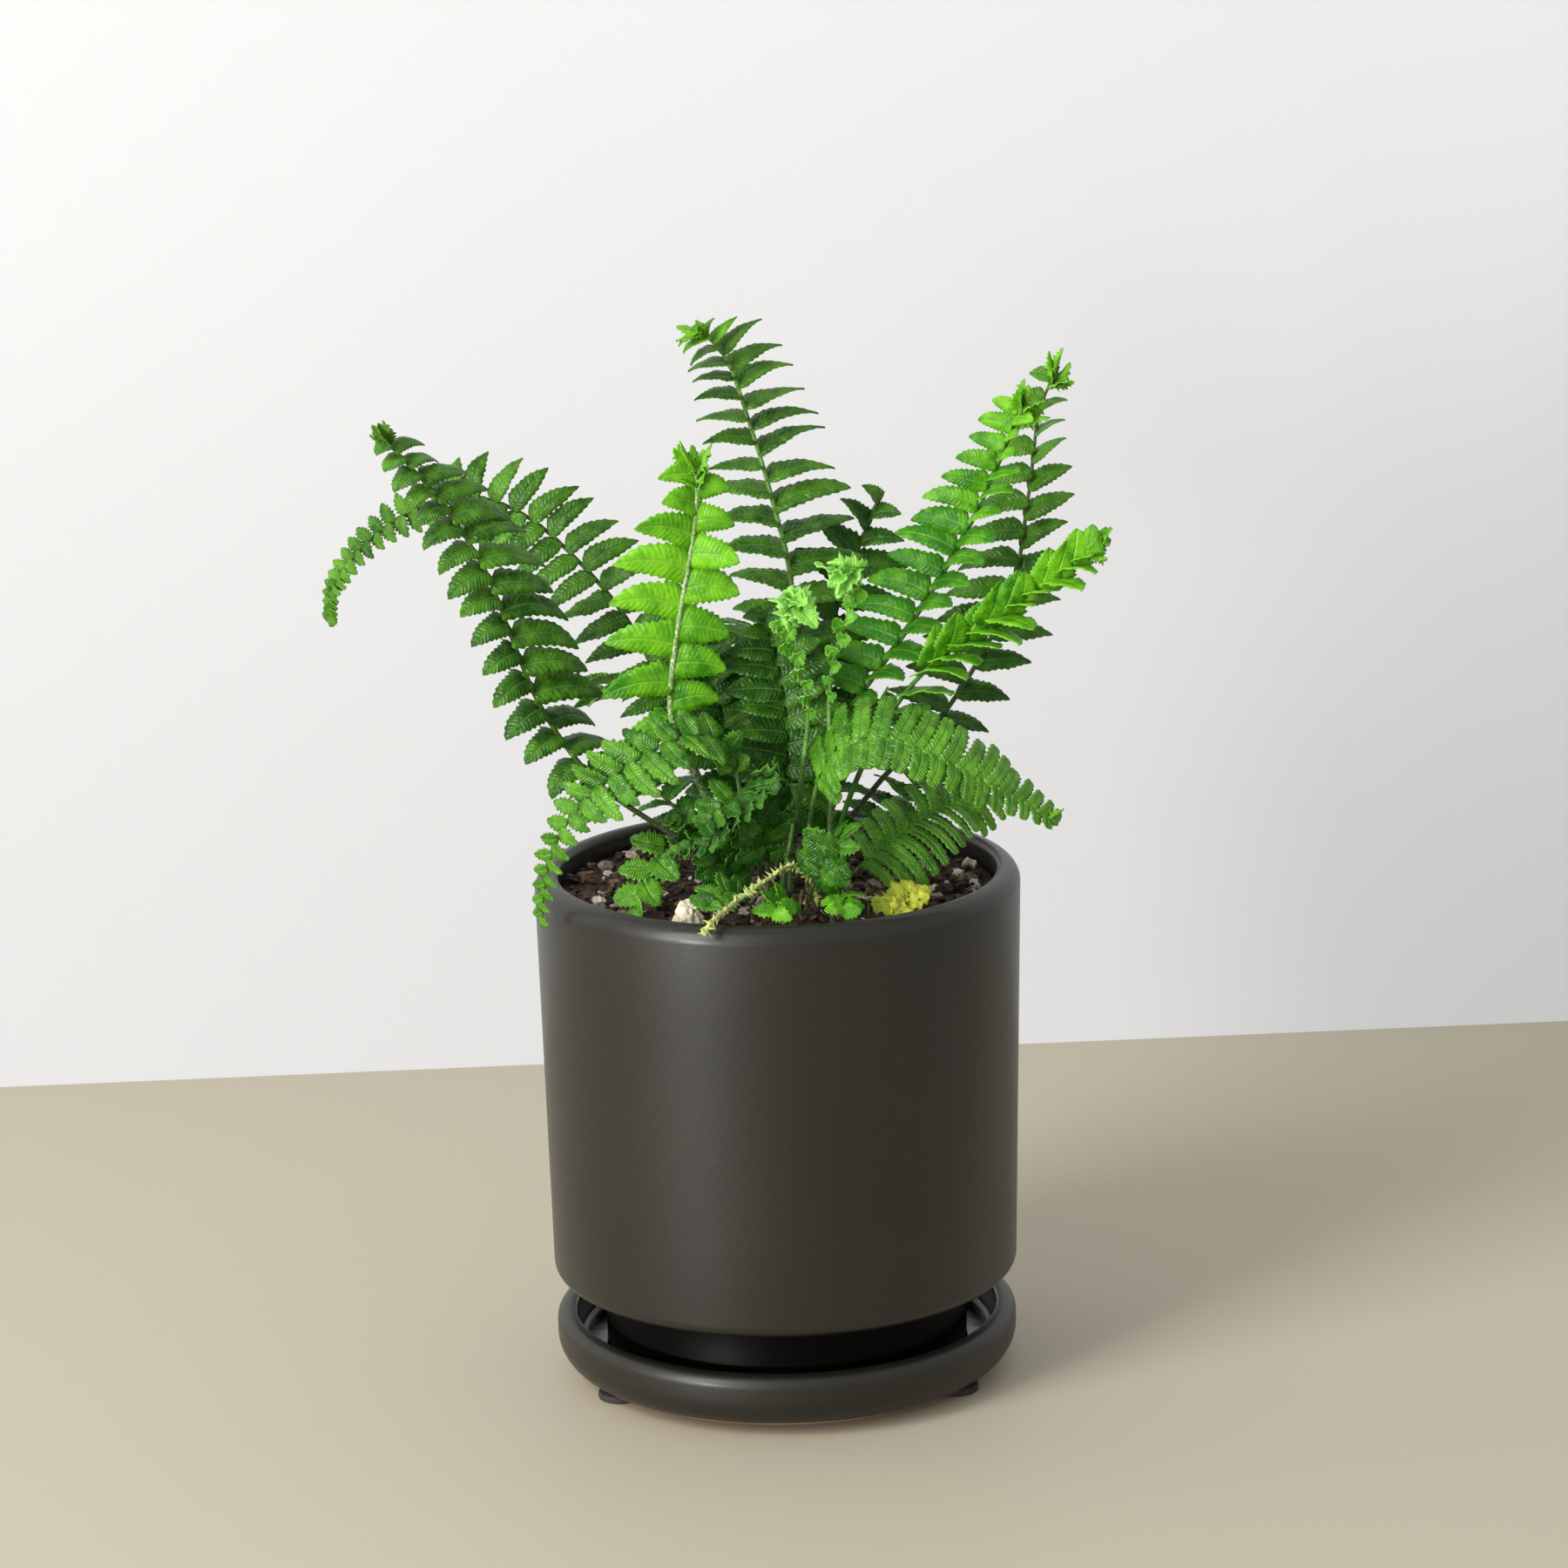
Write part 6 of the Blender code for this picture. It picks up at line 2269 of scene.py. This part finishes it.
@dataclass
class Studio:
    """Floor, wall, soft key light from the left, a low card beside it and an even sky.

    The wall stands along a line through two points, in millimetres about the pot's axis. The
    boards' size is in metres.
    """

    lights: tuple[Softbox, ...] = (
        Softbox("key_softbox", 222.0, 29.0, (0.63, 1.65), 32.8),
        Softbox("low_card", 231.0, 5.0, (0.33, 0.45), 15.0),
    )
    sky: float = 0.64
    sky_colour: Colour = (0.97, 0.985, 1.0)
    wall_points: tuple[Pair, ...] = ((-225.4, 236.0), (231.8, 267.4))
    board_size: float = 9.0

    def board(self, name: str, finish: StudioFinish) -> Piece:
        """Lay a square board about the origin.

        Args:
            name: The board's name.
            finish: Its finish.

        Returns:
            The board.
        """
        deselect()
        bpy.ops.mesh.primitive_plane_add(size=self.board_size, location=(0, 0, 0))
        made = settle(bpy.context.object, name)
        dress(made, finish.build())
        return made

    def build(self) -> None:
        """Set up the floor, the wall, the lights and the sky."""
        self.board("studio_floor", FLOOR_BOARD)
        wall = self.board("studio_wall", WALL_BOARD)
        (x0, y0), (x1, y1) = self.wall_points
        centre = np.array(((x0 + x1) / 2 + POT_AXIS[0], (y0 + y1) / 2 + POT_AXIS[1])) * MM
        heading = math.atan2(y1 - y0, x1 - x0)
        stand = Matrix.Translation((*centre, self.board_size / 2))
        stand = stand @ Matrix.Rotation(heading, 4, "Z")
        wall.data.transform(stand @ Matrix.Rotation(math.radians(90), 4, "X"))
        for light in self.lights:
            light.build()
        world = bpy.data.worlds.new("studio_sky")
        world.use_nodes = True
        sky = world.node_tree.nodes["Background"]
        sky.inputs[0].default_value = (*self.sky_colour, 1.0)
        sky.inputs[1].default_value = self.sky
        bpy.context.scene.world = world
        bpy.context.scene.view_settings.view_transform = "Standard"


@dataclass
class PhotoCamera:
    """The photograph's camera, a little above the plant and looking slightly down.

    Lengths are in millimetres and turns in radians.
    """

    distance: float = 1150.1
    height: float = 430.427
    pitch: float = 0.24428
    roll: float = -0.02152
    yaw: float = 0.00177
    lens: float = 115.39
    sensor: float = 36.0

    def build(self) -> None:
        """Make the camera and give it to the scene."""
        cosine = math.cos(self.pitch)
        forward = Vector((math.sin(self.yaw) * cosine, math.cos(self.yaw) * cosine,
                          -math.sin(self.pitch)))
        right = Vector((math.cos(self.yaw), -math.sin(self.yaw), 0.0))
        up = right.cross(forward)
        level, upright = math.cos(self.roll), math.sin(self.roll)
        side = right * level + up * upright
        top = up * level - right * upright
        turn = Matrix((side, top, -forward)).transposed().to_4x4()
        data = bpy.data.cameras.new("photo_camera")
        data.lens = self.lens
        data.sensor_width = self.sensor
        data.clip_start, data.clip_end = 0.05, 30.0
        camera = bpy.data.objects.new("photo_camera", data)
        place = (np.array((0.0, -self.distance, self.height)) + POT_AXIS) * MM
        camera.matrix_world = Matrix.Translation(place) @ turn
        bpy.context.scene.collection.objects.link(camera)
        bpy.context.scene.camera = camera


def report(piece: Piece) -> None:
    """Log a piece's name and how many faces it has."""
    LOG.info("%s: %d faces", piece.name, len(piece.data.polygons))


def main() -> None:
    """Build the studio, the pot, its filling and the fern."""
    logging.basicConfig(level=logging.INFO, format="%(message)s")
    PhotoCamera().build()
    Studio().build()
    report(Pot().build())
    report(Saucer().build())
    for pad in Pads().build():
        report(pad)
    for piece in PottingMix().build():
        report(piece)
    report(PaleStone().build())
    grower = FernGrower()
    for plan in FRONDS:
        report(grower.grow(plan))
    report(Runner(grower).build())
    report(Rootlets(grower).build())
    grower.finish()


if __name__ == "__main__":
    main()
